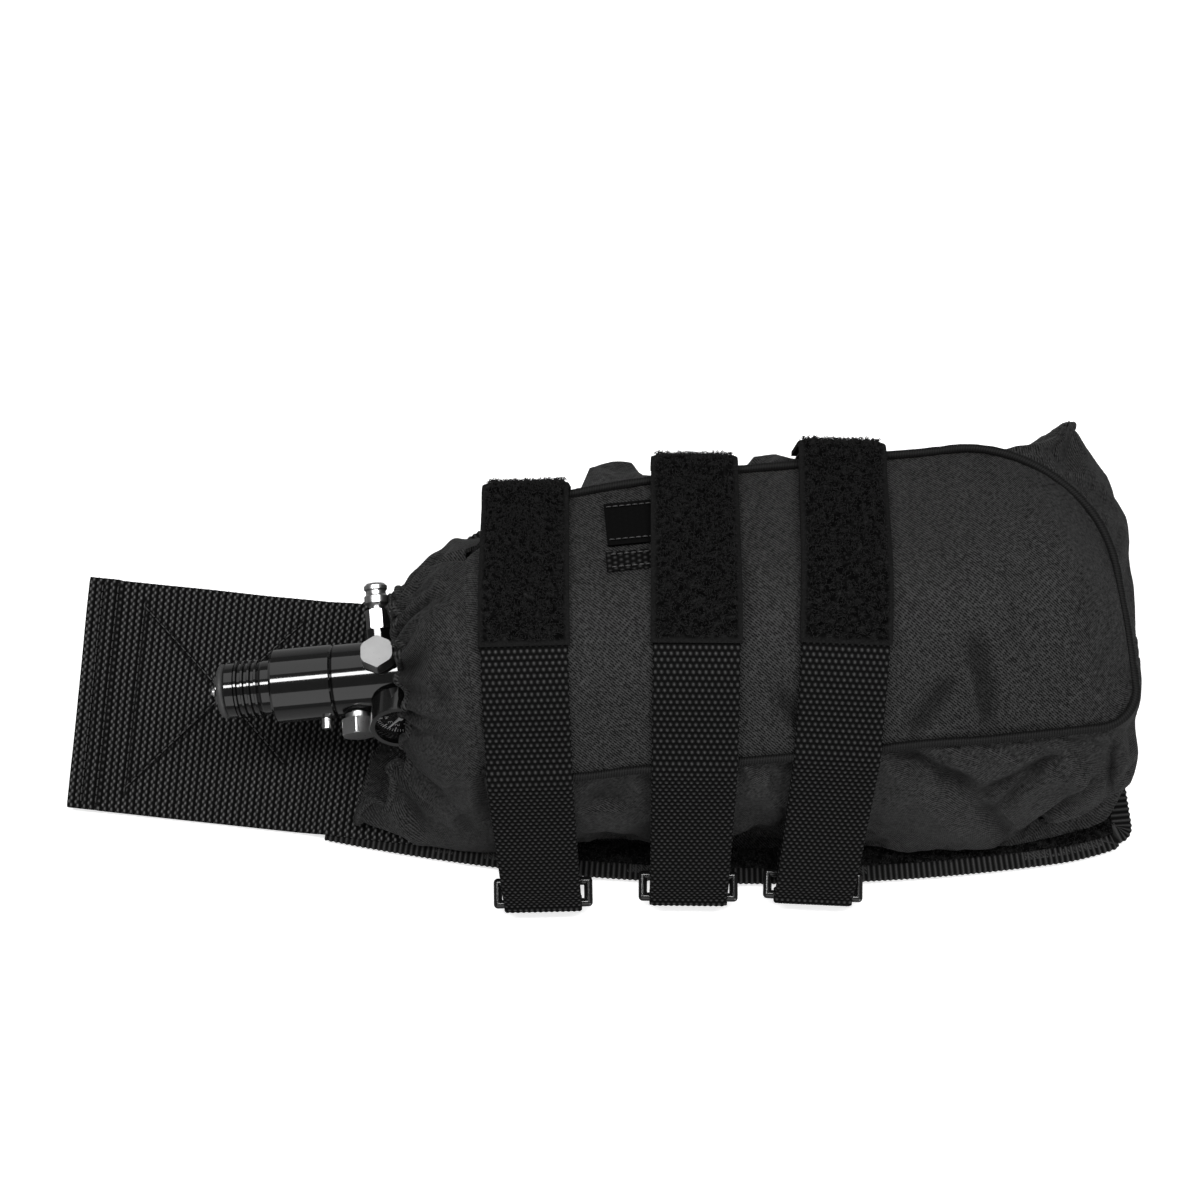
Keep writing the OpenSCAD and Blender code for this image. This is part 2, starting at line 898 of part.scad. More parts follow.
module strap_base(k) {
    lift = base_lift;
    bar = [ring_y[k], ring_z];
    path = concat(
        [strap_foot + rise_normal * (lift + piping_lift)],
        over_piping(piping_y_top, lift, rise_turn, 50),
        over_crown(lift, 56, 124),
        over_piping(piping_y_low, lift, 130, fall_turn(k)),
        [bar - fall(k) * 12 + fall_normal(k)]
    );
    color([0.09, 0.09, 0.1])
        strap_layer(k, path, strap_w, strap_t);
}

module loop_pad(k) {
    lift = pad_lift;
    path = concat(
        [
            [piping_y_top, piping_z] + [rise_normal[1], -rise_normal[0]] * pad_drop
                + rise_normal * (lift + piping_lift)
        ],
        over_piping(piping_y_top, lift, rise_turn, 50),
        over_crown(lift, 56, pad_end_turn[k])
    );
    color([0.02, 0.02, 0.02])
        strap_layer(k, path, strap_w + 1, pad_t);
}

module strap_tail(k) {
    lift = tail_lift;
    path = concat(
        over_crown(lift, pad_end_turn[k] + tail_gap_turn, 124),
        over_piping(piping_y_low, lift, 130, fall_turn(k)),
        arc([ring_y[k], ring_z], wrap_r, wrap_r, fall_turn(k), 420, 12)
    );
    color([0.1, 0.1, 0.11])
        strap_layer(k, path, strap_w, strap_t);
}

// Wire loop: the strap turns round its outer bar, the tab holds its inner bar
module strap_ring(k) {
    corners = [[-ring_w / 2, 0], [ring_w / 2, 0], [ring_w / 2, ring_h], [-ring_w / 2, ring_h]];
    color([0.06, 0.06, 0.07])
        strap_frame(k)
            translate([0, ring_y[k], ring_z])
                union() {
                    for (c = corners)
                        translate([c[0], c[1], 0])
                            sphere(d = wire_d);
                    for (y = [0, ring_h])
                        translate([-ring_w / 2, y, 0])
                            rotate([0, 90, 0])
                                cylinder(d = wire_d, h = ring_w);
                    for (x = [-ring_w / 2, ring_w / 2])
                        translate([x, 0, 0])
                            rotate([-90, 0, 0])
                                cylinder(d = wire_d, h = ring_h);
                }
}

// Webbing loop that holds the ring to the back panel
module ring_tab(k) {
    bar = [ring_y[k] + ring_h, ring_z];
    tab_t = 0.9;
    turn_r = wire_d / 2 + 0.05 + tab_t / 2;
    tab_len = 6.5;
    path = concat(
        [bar + [tab_len, 1.2 - turn_r]],
        arc(bar, turn_r, turn_r, 75, 270, 10),
        [bar + [tab_len, -turn_r]]
    );
    color([0.07, 0.07, 0.075])
        strap_layer(k, path, strap_w - 2, tab_t);
}

// ---- One line per node ----

bottle();
neck_o_ring();
regulator_body();
regulator_bonnet();
nozzle_o_ring();
piston();
piston_o_ring();
piston_springs();
valve_seat();
pin_valve();
pin_valve_seal();
pin_valve_spring();
pin_valve_retainer();
vent_screw();
fill_nipple();
fill_check_poppet();
fill_check_spring();
front_burst_plug();
front_burst_disc();
low_burst_plug();
low_burst_disc();
gauge_case();
gauge_dial();
gauge_needle();
gauge_tube();
gauge_lens();
gauge_bezel();
back_panel();
back_foam();
edge_binding();
hook_strip();
front_panel();
top_gusset();
bottom_gusset();
end_gusset();
front_piping();
cuff();
cuff_elastic();
keeper_tab();
belt_wing();
strap_base(0);  // strap_base_1
strap_base(1);  // strap_base_2
strap_base(2);  // strap_base_3
loop_pad(0);  // loop_pad_1
loop_pad(1);  // loop_pad_2
loop_pad(2);  // loop_pad_3
strap_tail(0);  // strap_tail_1
strap_tail(1);  // strap_tail_2
strap_tail(2);  // strap_tail_3
strap_ring(0);  // strap_ring_1
strap_ring(1);  // strap_ring_2
strap_ring(2);  // strap_ring_3
ring_tab(0);  // ring_tab_1
ring_tab(1);  // ring_tab_2
ring_tab(2);  // ring_tab_3
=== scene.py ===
import json
import math

import bpy
import numpy as np
from mathutils import Matrix, Vector

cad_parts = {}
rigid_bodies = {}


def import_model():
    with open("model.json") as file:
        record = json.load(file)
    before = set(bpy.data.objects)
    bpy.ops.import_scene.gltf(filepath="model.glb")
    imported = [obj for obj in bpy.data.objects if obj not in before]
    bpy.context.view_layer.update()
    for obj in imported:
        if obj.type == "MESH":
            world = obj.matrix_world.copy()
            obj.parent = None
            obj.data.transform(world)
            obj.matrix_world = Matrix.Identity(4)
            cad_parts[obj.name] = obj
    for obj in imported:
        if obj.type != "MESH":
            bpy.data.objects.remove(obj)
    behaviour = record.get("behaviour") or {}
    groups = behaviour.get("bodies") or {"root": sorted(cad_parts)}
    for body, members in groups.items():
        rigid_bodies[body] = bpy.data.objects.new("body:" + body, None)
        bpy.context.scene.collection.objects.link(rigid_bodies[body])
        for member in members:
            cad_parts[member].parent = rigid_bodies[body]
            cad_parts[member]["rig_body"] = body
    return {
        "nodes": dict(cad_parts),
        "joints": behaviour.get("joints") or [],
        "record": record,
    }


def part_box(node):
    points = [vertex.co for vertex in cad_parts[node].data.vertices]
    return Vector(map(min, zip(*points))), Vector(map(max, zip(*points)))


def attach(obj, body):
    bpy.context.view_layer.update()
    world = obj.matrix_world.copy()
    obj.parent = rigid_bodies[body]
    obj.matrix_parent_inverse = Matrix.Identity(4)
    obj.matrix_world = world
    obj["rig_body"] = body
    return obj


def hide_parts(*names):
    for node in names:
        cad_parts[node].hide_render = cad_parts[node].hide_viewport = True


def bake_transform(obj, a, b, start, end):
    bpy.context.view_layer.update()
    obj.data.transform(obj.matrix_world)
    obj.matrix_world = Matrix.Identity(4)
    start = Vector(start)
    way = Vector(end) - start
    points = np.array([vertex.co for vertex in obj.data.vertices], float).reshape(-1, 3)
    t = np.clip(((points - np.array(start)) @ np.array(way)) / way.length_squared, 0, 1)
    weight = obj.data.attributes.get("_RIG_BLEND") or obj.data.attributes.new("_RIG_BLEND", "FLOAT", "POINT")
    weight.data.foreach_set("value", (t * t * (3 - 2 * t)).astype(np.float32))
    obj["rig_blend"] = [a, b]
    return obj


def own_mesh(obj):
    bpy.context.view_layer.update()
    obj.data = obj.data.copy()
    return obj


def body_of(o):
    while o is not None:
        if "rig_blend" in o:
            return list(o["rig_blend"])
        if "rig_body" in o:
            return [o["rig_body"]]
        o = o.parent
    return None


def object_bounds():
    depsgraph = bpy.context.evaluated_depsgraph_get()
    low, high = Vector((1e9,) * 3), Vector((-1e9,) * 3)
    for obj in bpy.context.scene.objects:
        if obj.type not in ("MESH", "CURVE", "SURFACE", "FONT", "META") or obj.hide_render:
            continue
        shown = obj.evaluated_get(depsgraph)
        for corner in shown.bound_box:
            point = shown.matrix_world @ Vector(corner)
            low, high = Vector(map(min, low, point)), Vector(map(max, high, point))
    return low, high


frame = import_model()
cad_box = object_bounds()

MM = 0.001


def span(node):
    """Lowest and highest corner of a CAD node, in millimetres."""
    low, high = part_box(node)
    return np.array(low) / MM, np.array(high) / MM


def joint_named(name):
    return next(joint for joint in frame["joints"] if joint["name"] == name)


# Places and sizes in millimetres, most of them taken from the CAD frame
tank_low, tank_high = span("bottle")
AXIS_Z = (tank_low[2] + tank_high[2]) / 2
TANK_R = (tank_high[2] - tank_low[2]) / 2
TANK_END = tank_high[0]
DOME_LEN = 22.0
DOME_FLAT_R = 14.5
piping_low, piping_high = span("front_piping")
PIPING_R = (piping_high[2] - piping_low[2]) / 2
PIPING_Z = piping_high[2] - PIPING_R
START_X = piping_low[0]
END_X = piping_high[0] - PIPING_R
TOP_Y = piping_high[1] - PIPING_R
LOW_Y = piping_low[1] + PIPING_R
PANEL_END, PANEL_TOP, BINDING_T = span("edge_binding")[1]
PANEL_T = span("back_panel")[1][2]
SKIN_T = 1.5


# ---- Meshes ----

class Part:
    """Points in millimetres, four-sided faces, a flat map in millimetres and a value per point for painted
    shade and painted highlight, taken from how folded or raised the surface is.
    """

    def __init__(self, points, quads, flat=None, relief_shade=None):
        self.points = np.asarray(points, float).reshape(-1, 3)
        self.quads = np.asarray(quads, int).reshape(-1, 4)
        count = len(self.points)
        self.flat = np.zeros((count, 2)) if flat is None else flat.reshape(-1, 2)
        self.relief_shade = np.zeros(count) if relief_shade is None else np.asarray(relief_shade, float).reshape(-1)


def merge(parts):
    starts = np.cumsum([0] + [len(part.points) for part in parts[:-1]])
    return Part(
        np.concatenate([part.points for part in parts]),
        np.concatenate([part.quads + start for part, start in zip(parts, starts)]),
        np.concatenate([part.flat for part in parts]),
        np.concatenate([part.relief_shade for part in parts]),
    )


def unit(vectors):
    return vectors / np.maximum(np.linalg.norm(vectors, axis=-1, keepdims=True), 1e-9)


def grid_normals(points, wrap=False):
    """Direction rows x columns at each point of a grid; wrap closes the columns into a ring."""
    along = np.gradient(points, axis=0)
    if wrap:
        ring = np.concatenate([points[:, -1:], points, points[:, :1]], 1)
        across = np.gradient(ring, axis=1)[:, 1:-1]
    else:
        across = np.gradient(points, axis=1)
    return unit(np.cross(along, across))


def grid_quads(index):
    return np.stack([index[:-1, :-1], index[1:, :-1], index[1:, 1:], index[:-1, 1:]], -1).reshape(-1, 4)


def grid_index(rows, columns):
    return np.arange(rows * columns).reshape(rows, columns)


def close_ring(index):
    return np.concatenate([index, index[:, :1]], 1)


def distance_along(path):
    """Distance from the start of a path to each of its points."""
    return np.concatenate([[0], np.cumsum(np.linalg.norm(np.diff(path, axis=0), axis=1))])


def near_line(points, start, end):
    """For each point, seen from the front: the nearest place on a line as a share of it, and the gap."""
    start = np.array(start, float)
    line = np.array(end, float) - start
    offset = points[..., :2] - start
    share = np.clip((offset @ line) / (line @ line), 0, 1)
    return share, np.linalg.norm(offset - share[..., None] * line, axis=-1)


def arc(centre, radius, first, last, count):
    """Points on a circle between two angles in degrees."""
    turn = np.linspace(math.radians(first), math.radians(last), count)
    return np.array(centre) + radius * np.stack([np.cos(turn), np.sin(turn)], -1)


def edge_line(xs, edge):
    return np.stack([xs, edge(xs)], -1)


def with_height(flat, z):
    """Flat points with a height each, or one height for all."""
    return np.concatenate([flat, np.broadcast_to(z, flat.shape[:-1])[..., None]], -1)


def flat_map(points):
    """Distance along the rows and along the columns of a grid."""
    along = np.linalg.norm(np.diff(points, axis=0), axis=-1).mean(1)
    across = np.linalg.norm(np.diff(points, axis=1), axis=-1).mean(0)
    u = np.concatenate([[0], np.cumsum(along)])
    v = np.concatenate([[0], np.cumsum(across)])
    return np.stack(np.meshgrid(u, v, indexing="ij"), -1)


def sheet(points, thickness=SKIN_T, wrap=False, relief_shade=None, back=None):
    """Closed sheet whose outer face is a grid of points; its back is given or lies one thickness behind."""
    rows, columns = points.shape[:2]
    count = rows * columns
    under = points - grid_normals(points, wrap) * thickness if back is None else back
    index = grid_index(rows, columns)
    if wrap:
        index = close_ring(index)
    face = grid_quads(index)
    borders = [index[0], index[-1][::-1]]
    if not wrap:
        borders += [index[:, 0][::-1], index[:, -1]]
    rims = [np.stack([b[:-1], b[1:], b[1:] + count, b[:-1] + count], -1) for b in borders]
    flat = flat_map(points)
    relief_shade = np.zeros((rows, columns)) if relief_shade is None else relief_shade
    return Part(
        np.concatenate([points.reshape(-1, 3), under.reshape(-1, 3)]),
        np.concatenate([face, face[:, ::-1] + count] + rims),
        np.concatenate([flat.reshape(-1, 2)] * 2),
        np.concatenate([relief_shade.reshape(-1)] * 2),
    )


def tube(path, radius, sides=8, closed=False):
    """Round bar along a path; radius is one number or one per point."""
    path = np.asarray(path, float)
    count = len(path)
    radius = np.broadcast_to(radius, count)
    if closed:
        tangents = unit(np.roll(path, -1, 0) - np.roll(path, 1, 0))
    else:
        tangents = unit(np.gradient(path, axis=0))
    start = np.cross(tangents[0], (0.0, 0.0, 1.0))
    side = unit(start if np.linalg.norm(start) > 0.1 else np.cross(tangents[0], (1.0, 0.0, 0.0)))
    side_list = []
    for tangent in tangents:
        side = unit(side - tangent * (side @ tangent))
        side_list.append(side)
    side_list = np.array(side_list)
    up_list = np.cross(tangents, side_list)
    turn = (2 * np.pi * np.arange(sides) / sides)[None, :, None]
    ring = np.cos(turn) * side_list[:, None] + np.sin(turn) * up_list[:, None]
    points = path[:, None] + ring * radius[:, None, None]
    index = close_ring(grid_index(count, sides))
    if closed:
        index = np.concatenate([index, index[:1]], 0)
    quads = [grid_quads(index)[:, ::-1]]
    if not closed:
        cap = np.array([[i, i + 1, sides - 2 - i, sides - 1 - i] for i in range(sides // 2 - 1)])
        quads += [cap[:, ::-1], cap + (count - 1) * sides]
    flat = np.stack(np.meshgrid(distance_along(path), turn, indexing="ij"), -1)
    return Part(points, np.concatenate(quads), flat)


def scatter(template, places, turns):
    """Copies of one part at many places; turns holds the three axis directions of each copy."""
    points = np.einsum("nj,mjk->mnk", template.points, turns) + places[:, None]
    count = len(template.points)
    quads = template.quads[None] + (np.arange(len(places)) * count)[:, None, None]
    flat = np.repeat(places[:, None, :2], count, 1)
    relief_shade = np.repeat(template.relief_shade[None], len(places), 0)
    return Part(points, quads, flat, relief_shade)


def waves(points, length, seed, count=24):
    """Smooth random height, about -1 to 1, that changes over the given length."""
    random = np.random.default_rng(seed)
    directions = unit(random.normal(size=(count, 3)))
    numbers = 2 * np.pi / (length * random.uniform(0.7, 1.6, count))
    phases = random.uniform(0, 2 * np.pi, count)
    return np.sin(points @ (directions * numbers[:, None]).T + phases).sum(-1) / math.sqrt(count)


def add_object(name, data):
    made = bpy.data.objects.new(name, data)
    bpy.context.scene.collection.objects.link(made)
    return made


SHARP_ANGLE = math.radians(55)


def add_piece(name, part, material, body, replaces=()):
    """Makes one shown piece that rides on a body and stands for its CAD nodes."""
    if isinstance(part, list):
        part = merge(part)
    mesh = bpy.data.meshes.new(name)
    mesh.from_pydata((part.points * MM).tolist(), [], part.quads.tolist())
    layer = mesh.uv_layers.new(name="flat")
    corners = np.zeros(len(mesh.loops), int)
    mesh.loops.foreach_get("vertex_index", corners)
    layer.data.foreach_set("uv", part.flat[corners].astype(np.float32).ravel())
    # Per-point value that the materials turn into painted shade in folds and painted highlight on raised
    # weave and pile.
    relief_shade = mesh.attributes.new("relief_shade", "FLOAT", "POINT")
    relief_shade.data.foreach_set("value", part.relief_shade.astype(np.float32))
    mesh.polygons.foreach_set("use_smooth", [True] * len(mesh.polygons))
    mesh.set_sharp_from_angle(angle=SHARP_ANGLE)
    mesh.materials.append(MATERIALS[material])
    piece = add_object(name, mesh)
    if body:
        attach(piece, body)
    if replaces:
        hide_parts(*replaces)
    return piece


def resample(path, step):
    """The path again, with evenly spaced points about one step apart."""
    path = np.asarray(path, float)
    distance = distance_along(path)
    count = max(int(round(distance[-1] / step)), 2) + 1
    at = np.linspace(0, distance[-1], count)
    return np.stack([np.interp(at, distance, path[:, k]) for k in range(path.shape[1])], -1)


def smooth(path, passes):
    """The path with its inner points averaged with their neighbours."""
    path = path.copy()
    for _ in range(passes):
        path[1:-1] = (path[:-2] + 2 * path[1:-1] + path[2:]) / 4
    return path


# ---- Materials ----

class Shader:
    """Builds the nodes of one material, or of the world, with short calls."""

    def __init__(self, name, kind="materials", surface="Principled BSDF"):
        self.owner = getattr(bpy.data, kind).new(name)
        self.owner.use_nodes = True
        self.tree = self.owner.node_tree
        self.surface = self.tree.nodes[surface]

    def node(self, kind, inputs, **settings):
        node = self.tree.nodes.new(kind)
        for key, value in settings.items():
            setattr(node, key, value)
        for key, value in inputs.items():
            self.feed(node.inputs[key], value)
        return node

    def feed(self, socket, value):
        if isinstance(value, bpy.types.NodeSocket):
            self.tree.links.new(value, socket)
        else:
            socket.default_value = value

    def set(self, name, value):
        self.feed(self.surface.inputs[name], value)

    def math(self, operation, a, b=0.0):
        return self.node("ShaderNodeMath", {0: a, 1: b}, operation=operation).outputs[0]

    def flat(self):
        place = self.node("ShaderNodeUVMap", {}, uv_map="flat").outputs[0]
        split = self.node("ShaderNodeSeparateXYZ", {0: place})
        return split.outputs[0], split.outputs[1]

    def noise(self, scale, detail):
        place = self.node("ShaderNodeTexCoord", {}).outputs["Object"]
        inputs = {"Vector": place, "Scale": scale, "Detail": detail}
        return self.node("ShaderNodeTexNoise", inputs).outputs["Fac"]

    def relief_shade(self):
        return self.node("ShaderNodeAttribute", {}, attribute_name="relief_shade").outputs["Fac"]

    def add(self, a, b):
        return self.math("ADD", a, b)

    def times(self, a, b):
        return self.math("MULTIPLY", a, b)

    def wave(self, value, length):
        return self.math("SINE", self.times(value, 2 * math.pi / length))

    def mix(self, factor, dark, light):
        inputs = {"Factor": factor, 6: (*dark, 1), 7: (*light, 1)}
        return self.node("ShaderNodeMix", inputs, data_type="RGBA").outputs[2]

    def look(self, colour, roughness, specular):
        self.set("Base Color", colour)
        self.set("Roughness", roughness)
        self.set("Specular IOR Level", specular)

    def bump(self, height, distance, strength=1.0):
        inputs = {"Height": height, "Distance": distance * MM, "Strength": strength}
        self.set("Normal", self.node("ShaderNodeBump", inputs).outputs[0])


def grey(value):
    return (value, value, value)


def scaled(colour, factor):
    return tuple(min(factor * channel, 1) for channel in colour)


def fabric_material():
    """Woven polyester: fine broken diagonal threads; the per-point value marks how deep a fold is and
    darkens the cloth there as painted shade.
    """
    s = Shader("pouch_fabric")
    u, v = s.flat()
    twill = s.wave(s.add(u, v), 1.15)
    cross = s.wave(s.math("SUBTRACT", u, v), 2.1)
    weave = s.add(s.times(twill, 0.45), s.times(s.times(twill, cross), 0.3))
    weave = s.add(weave, 0.5)
    patchy = s.math("SUBTRACT", s.times(s.noise(950, 3), 2.4), 1.2)
    tone = s.add(s.times(weave, 0.95), patchy)
    # Painted shade: the cloth gets darker where the per-point value marks a fold or crease.
    unshaded = s.math("SUBTRACT", 1.0, s.relief_shade())
    s.look(s.mix(s.times(tone, unshaded), grey(0.0015), grey(0.044)), 0.6, 0.14)
    s.set("Sheen Weight", 0.02)
    s.set("Sheen Roughness", 0.4)
    s.bump(weave, 0.16, 1.0)
    return s.owner


def webbing_material():
    """Nylon webbing: the height of the cords sets how light they are, as painted highlight on the raised
    knots and painted shade in the grooves.
    """
    s = Shader("webbing")
    fine = s.noise(2600, 2)
    # Painted highlight on the raised knots, painted shade in the grooves between them.
    tone = s.times(s.math("POWER", s.relief_shade(), 3.2), s.add(fine, 0.4))
    s.look(s.mix(tone, grey(0.0042), grey(0.115)), 0.45, s.times(tone, 0.4))
    s.bump(fine, 0.15, 0.5)
    return s.owner


def pile_material():
    """Loop pile: very dark, with painted highlight on the raised loops and on the standing fibres."""
    s = Shader("hook_and_loop")
    fine = s.noise(1500, 4)
    # Painted highlight on the raised pile, painted shade between the loops.
    tone = s.times(s.math("POWER", s.relief_shade(), 2.5), s.times(fine, 1.6))
    s.look(s.mix(tone, grey(0.0006), grey(0.022)), 0.8, 0.04)
    s.bump(fine, 0.4, 0.8)
    return s.owner


def piping_material():
    """Cloth wound on the slant round a cord."""
    s = Shader("piping_cloth")
    u, v = s.flat()
    twist = s.wave(s.add(u, s.times(v, 0.35)), 0.9)
    s.look(s.mix(s.add(s.times(twist, 0.5), 0.5), grey(0.001), grey(0.009)), 0.6, 0.2)
    s.bump(twist, 0.08, 0.8)
    return s.owner


def thread_material():
    s = Shader("thread")
    s.look(s.mix(s.noise(3000, 2), grey(0.01), grey(0.05)), 0.5, 0.5)
    return s.owner


def turned_metal(name, colour, roughness):
    """Metal turned on a lathe, with slight wear in its colour and its gloss."""
    s = Shader(name)
    fine = s.noise(1400, 3)
    worn = s.mix(s.noise(180, 4), scaled(colour, 0.82), scaled(colour, 1.12))
    s.look(worn, s.add(s.times(fine, 0.12), roughness), 0.5)
    s.set("Metallic", 1.0)
    s.bump(fine, 0.03, 0.05)
    return s.owner


def anodised_material():
    s = Shader("black_anodised")
    fine = s.noise(700, 3)
    s.look(s.mix(fine, grey(0.002), grey(0.005)), s.add(s.times(fine, 0.04), 0.07), 0.8)
    s.set("Coat Weight", 0.5)
    s.set("Coat Roughness", 0.04)
    return s.owner


def plain_material(name, colour, roughness, specular=0.5, alpha=1.0):
    """Paint, rubber, plastic or print with a faint grain."""
    s = Shader(name)
    fine = s.noise(1200, 3)
    s.look(s.mix(fine, scaled(colour, 0.85), colour), s.add(s.times(fine, 0.1), roughness), specular)
    s.set("Alpha", alpha)
    s.bump(fine, 0.05, 0.3)
    return s.owner


TURNED_METALS = {
    # colour, roughness
    "bright_steel": (grey(0.66), 0.24),
    "gauge_metal": (grey(0.12), 0.16),
    "spring_steel": (grey(0.5), 0.3),
    "brass_parts": ((0.72, 0.56, 0.27), 0.25),
    "copper_disc": ((0.72, 0.42, 0.25), 0.25),
}
PLAIN_FINISHES = {
    # colour, roughness, specular, alpha
    "bottle_paint": (grey(0.035), 0.35),
    "seal_rubber": (grey(0.045), 0.45),
    "seat_plastic": ((0.85, 0.84, 0.78), 0.5),
    "dial_face": (grey(0.004), 0.6, 0.1),
    "dial_print": (grey(0.85), 0.5),
    "needle_white": (grey(0.8), 0.4),
    "clear_lens": (grey(0.02), 0.02, 0.5, 0.12),
    "foam": (grey(0.1), 0.9),
    "elastic": (grey(0.05), 0.8),
    "ring_enamel": (grey(0.01), 0.12, 0.8),
}
MATERIALS = {
    "pouch_fabric": fabric_material(),
    "webbing": webbing_material(),
    "hook_and_loop": pile_material(),
    "piping_cloth": piping_material(),
    "thread": thread_material(),
    "black_anodised": anodised_material(),
    **{name: turned_metal(name, *finish) for name, finish in TURNED_METALS.items()},
    **{name: plain_material(name, *finish) for name, finish in PLAIN_FINISHES.items()},
}


def paint_cad_nodes():
    """Every CAD node takes the finish of its slot in the record."""
    for row in frame["record"]["subparts"]:
        node = frame["nodes"][row["node"]]
        node.data.materials.clear()
        node.data.materials.append(MATERIALS[row["material_slot"]])


# Each spring's CAD node, and the joint that presses it
SPRINGS = {
    "piston_springs": "piston_slide",
    "pin_valve_spring": "output_pin_press",
    "fill_check_spring": "fill_check_lift",
}


def build_springs():
    """Each spring as its own copy of its CAD node, riding on the same body in place of the hidden node."""
    for node, name in SPRINGS.items():
        joint = joint_named(name)
        cad_node = frame["nodes"][node]
        spring = add_object(f"{node}_pressed", cad_node.data.copy())
        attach(spring, body_of(cad_node)[0])
        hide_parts(node)
        corners = np.array([vertex.co for vertex in spring.data.vertices])
        reach = corners @ np.array(joint["axis"])
        corners[reach.argmax()].tolist()
        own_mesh(spring)


# ---- Front of the pouch ----

TOP_CORNER = 50.0
LOW_CORNER = 14.0


def rounded_in(x, radius):
    """How far a corner of the given radius pulls the piping in at x, near the closed end."""
    over = np.clip(x - (END_X - radius), 0, radius)
    return radius - np.sqrt(radius**2 - over**2)


def top_edge(x):
    """Upper piping line at x: bowed, falling at the mouth and rounded into the closed end."""
    bow = 0.0008 * np.minimum(x + 13, 0) ** 2 + 0.016 * np.minimum(x + 80, 0) ** 2
    return TOP_Y - bow - rounded_in(x, TOP_CORNER)


def low_edge(x):
    """Lower piping line at x, rising towards the mouth."""
    return LOW_Y + 0.006 * np.minimum(x + 84, 0) ** 2 + rounded_in(x, LOW_CORNER)


def tank_radius(x, clearance):
    """Radius of the bottle at x, with room for the fabric; none beyond its closed end."""
    over = np.clip((x - (TANK_END - DOME_LEN)) / DOME_LEN, 0, 1)
    radius = DOME_FLAT_R + (TANK_R - DOME_FLAT_R) * np.sqrt(1 - over**2) + clearance
    return np.where(x > TANK_END + clearance, 0, radius)


def taut_front():
    """Grid of the front panel: held by its piping and pulled over the bottle."""
    bend_len = 24
    run = np.linspace(START_X, END_X - bend_len, 170)
    bend = END_X - bend_len + (bend_len - 0.8) * np.sin(np.linspace(0, np.pi / 2, 36))
    xs = np.concatenate([run, bend[1:]])
    across = np.linspace(0, 1, 96)
    low = low_edge(xs) + 1
    top = top_edge(xs) - 1
    x = np.repeat(xs[:, None], len(across), 1)
    y = low[:, None] + (top - low)[:, None] * across
    bottle_top = AXIS_Z + np.sqrt(np.maximum(tank_radius(x, SKIN_T + 0.8) ** 2 - y**2, 0))
    rest = np.maximum(bottle_top, PIPING_Z)
    crown = 17 * np.sin(np.pi * across)
    z = np.maximum(rest, PIPING_Z + crown)
    z[-1] = PIPING_Z
    for _ in range(700):
        inner = (z[:-2, 1:-1] + z[2:, 1:-1] + 1.5 * z[1:-1, :-2] + 1.5 * z[1:-1, 2:]) / 5
        z[1:-1, 1:-1] = np.maximum(inner, rest[1:-1, 1:-1])
        z[0] = z[1]
        z[:, [0, -1]] = PIPING_Z
    return np.stack([x, y, z], -1)


front = taut_front()


def front_height(x, y):
    """Height of the taut front at (x, y)."""
    z = front[..., 2]
    low, top = low_edge(np.asarray(x)) + 1, top_edge(np.asarray(x)) - 1
    column = np.clip(np.interp(x, front[:, 0, 0], np.arange(len(z))), 0, len(z) - 1.001)
    row = np.clip((y - low) / (top - low), 0, 0.9999) * (z.shape[1] - 1)
    i, j = column.astype(int), row.astype(int)
    a, b = column - i, row - j
    near, far = z[i, j] * (1 - b) + z[i, j + 1] * b, z[i + 1, j] * (1 - b) + z[i + 1, j + 1] * b
    return near * (1 - a) + far * a


FRONT_CREASES = [
    # start, end, half-width and depth of the lines where the cloth pulls
    ((45, 52), (36, -6), 0.7, 0.5), ((66, 51), (52, -8), 0.7, 0.5), ((76, 48), (61, -2), 0.6, 0.4),
    ((-60, 30), (-66, -41), 0.5, -0.5), ((-51, 26), (-59, -42), 0.5, -0.5), ((-5, 55), (-17, 20), 0.8, 0.8),
    ((-17, 20), (-19, -10), 1.0, 0.5), ((-11, -24), (-2, -37), 3.0, 2.0), ((56, -12), (60, -42), 3.6, 2.4),
    ((49, -25), (34, -42), 3.2, 2.2), ((52, -22), (54, -40), 3.0, -1.2), ((94, 24), (97, -34), 5.0, -1.2),
]


def crease_depth(points, creases):
    """How deep a set of straight creases presses the cloth in at each point, seen from the front."""
    depth = np.zeros(points.shape[:2])
    for start, end, width, amount in creases:
        share, gap = near_line(points, start, end)
        fade = np.minimum(1, 4 * share * (1 - share) + 0.25)
        depth += amount * fade * np.exp(-((gap / width) ** 2))
    return depth


def build_front():
    points = front.copy()
    x, y = points[..., 0], points[..., 1]
    edge = np.minimum(y - y[:, :1], y[:, -1:] - y)
    held = np.clip(edge / 5, 0, 1)
    broad = waves(points * (1, 0.35, 0.5), 26, 3) * 0.55
    fine = waves(points * (1, 0.12, 0.2), 5.5, 4) * 0.14
    gathers = np.sin(2 * np.pi * x / 7 + 2 * waves(points, 20, 5)) * np.exp(-edge / 7) * 0.35
    depth = crease_depth(points, FRONT_CREASES)
    points[..., 2] += (broad + fine + gathers - depth) * held
    # Painted shade in the creases: the deeper a crease, the darker the cloth.
    shade = np.clip(0.35 * depth, 0, 0.6)
    add_piece("front_panel_cloth", sheet(points, relief_shade=shade), "pouch_fabric", "pouch", ["front_panel"])


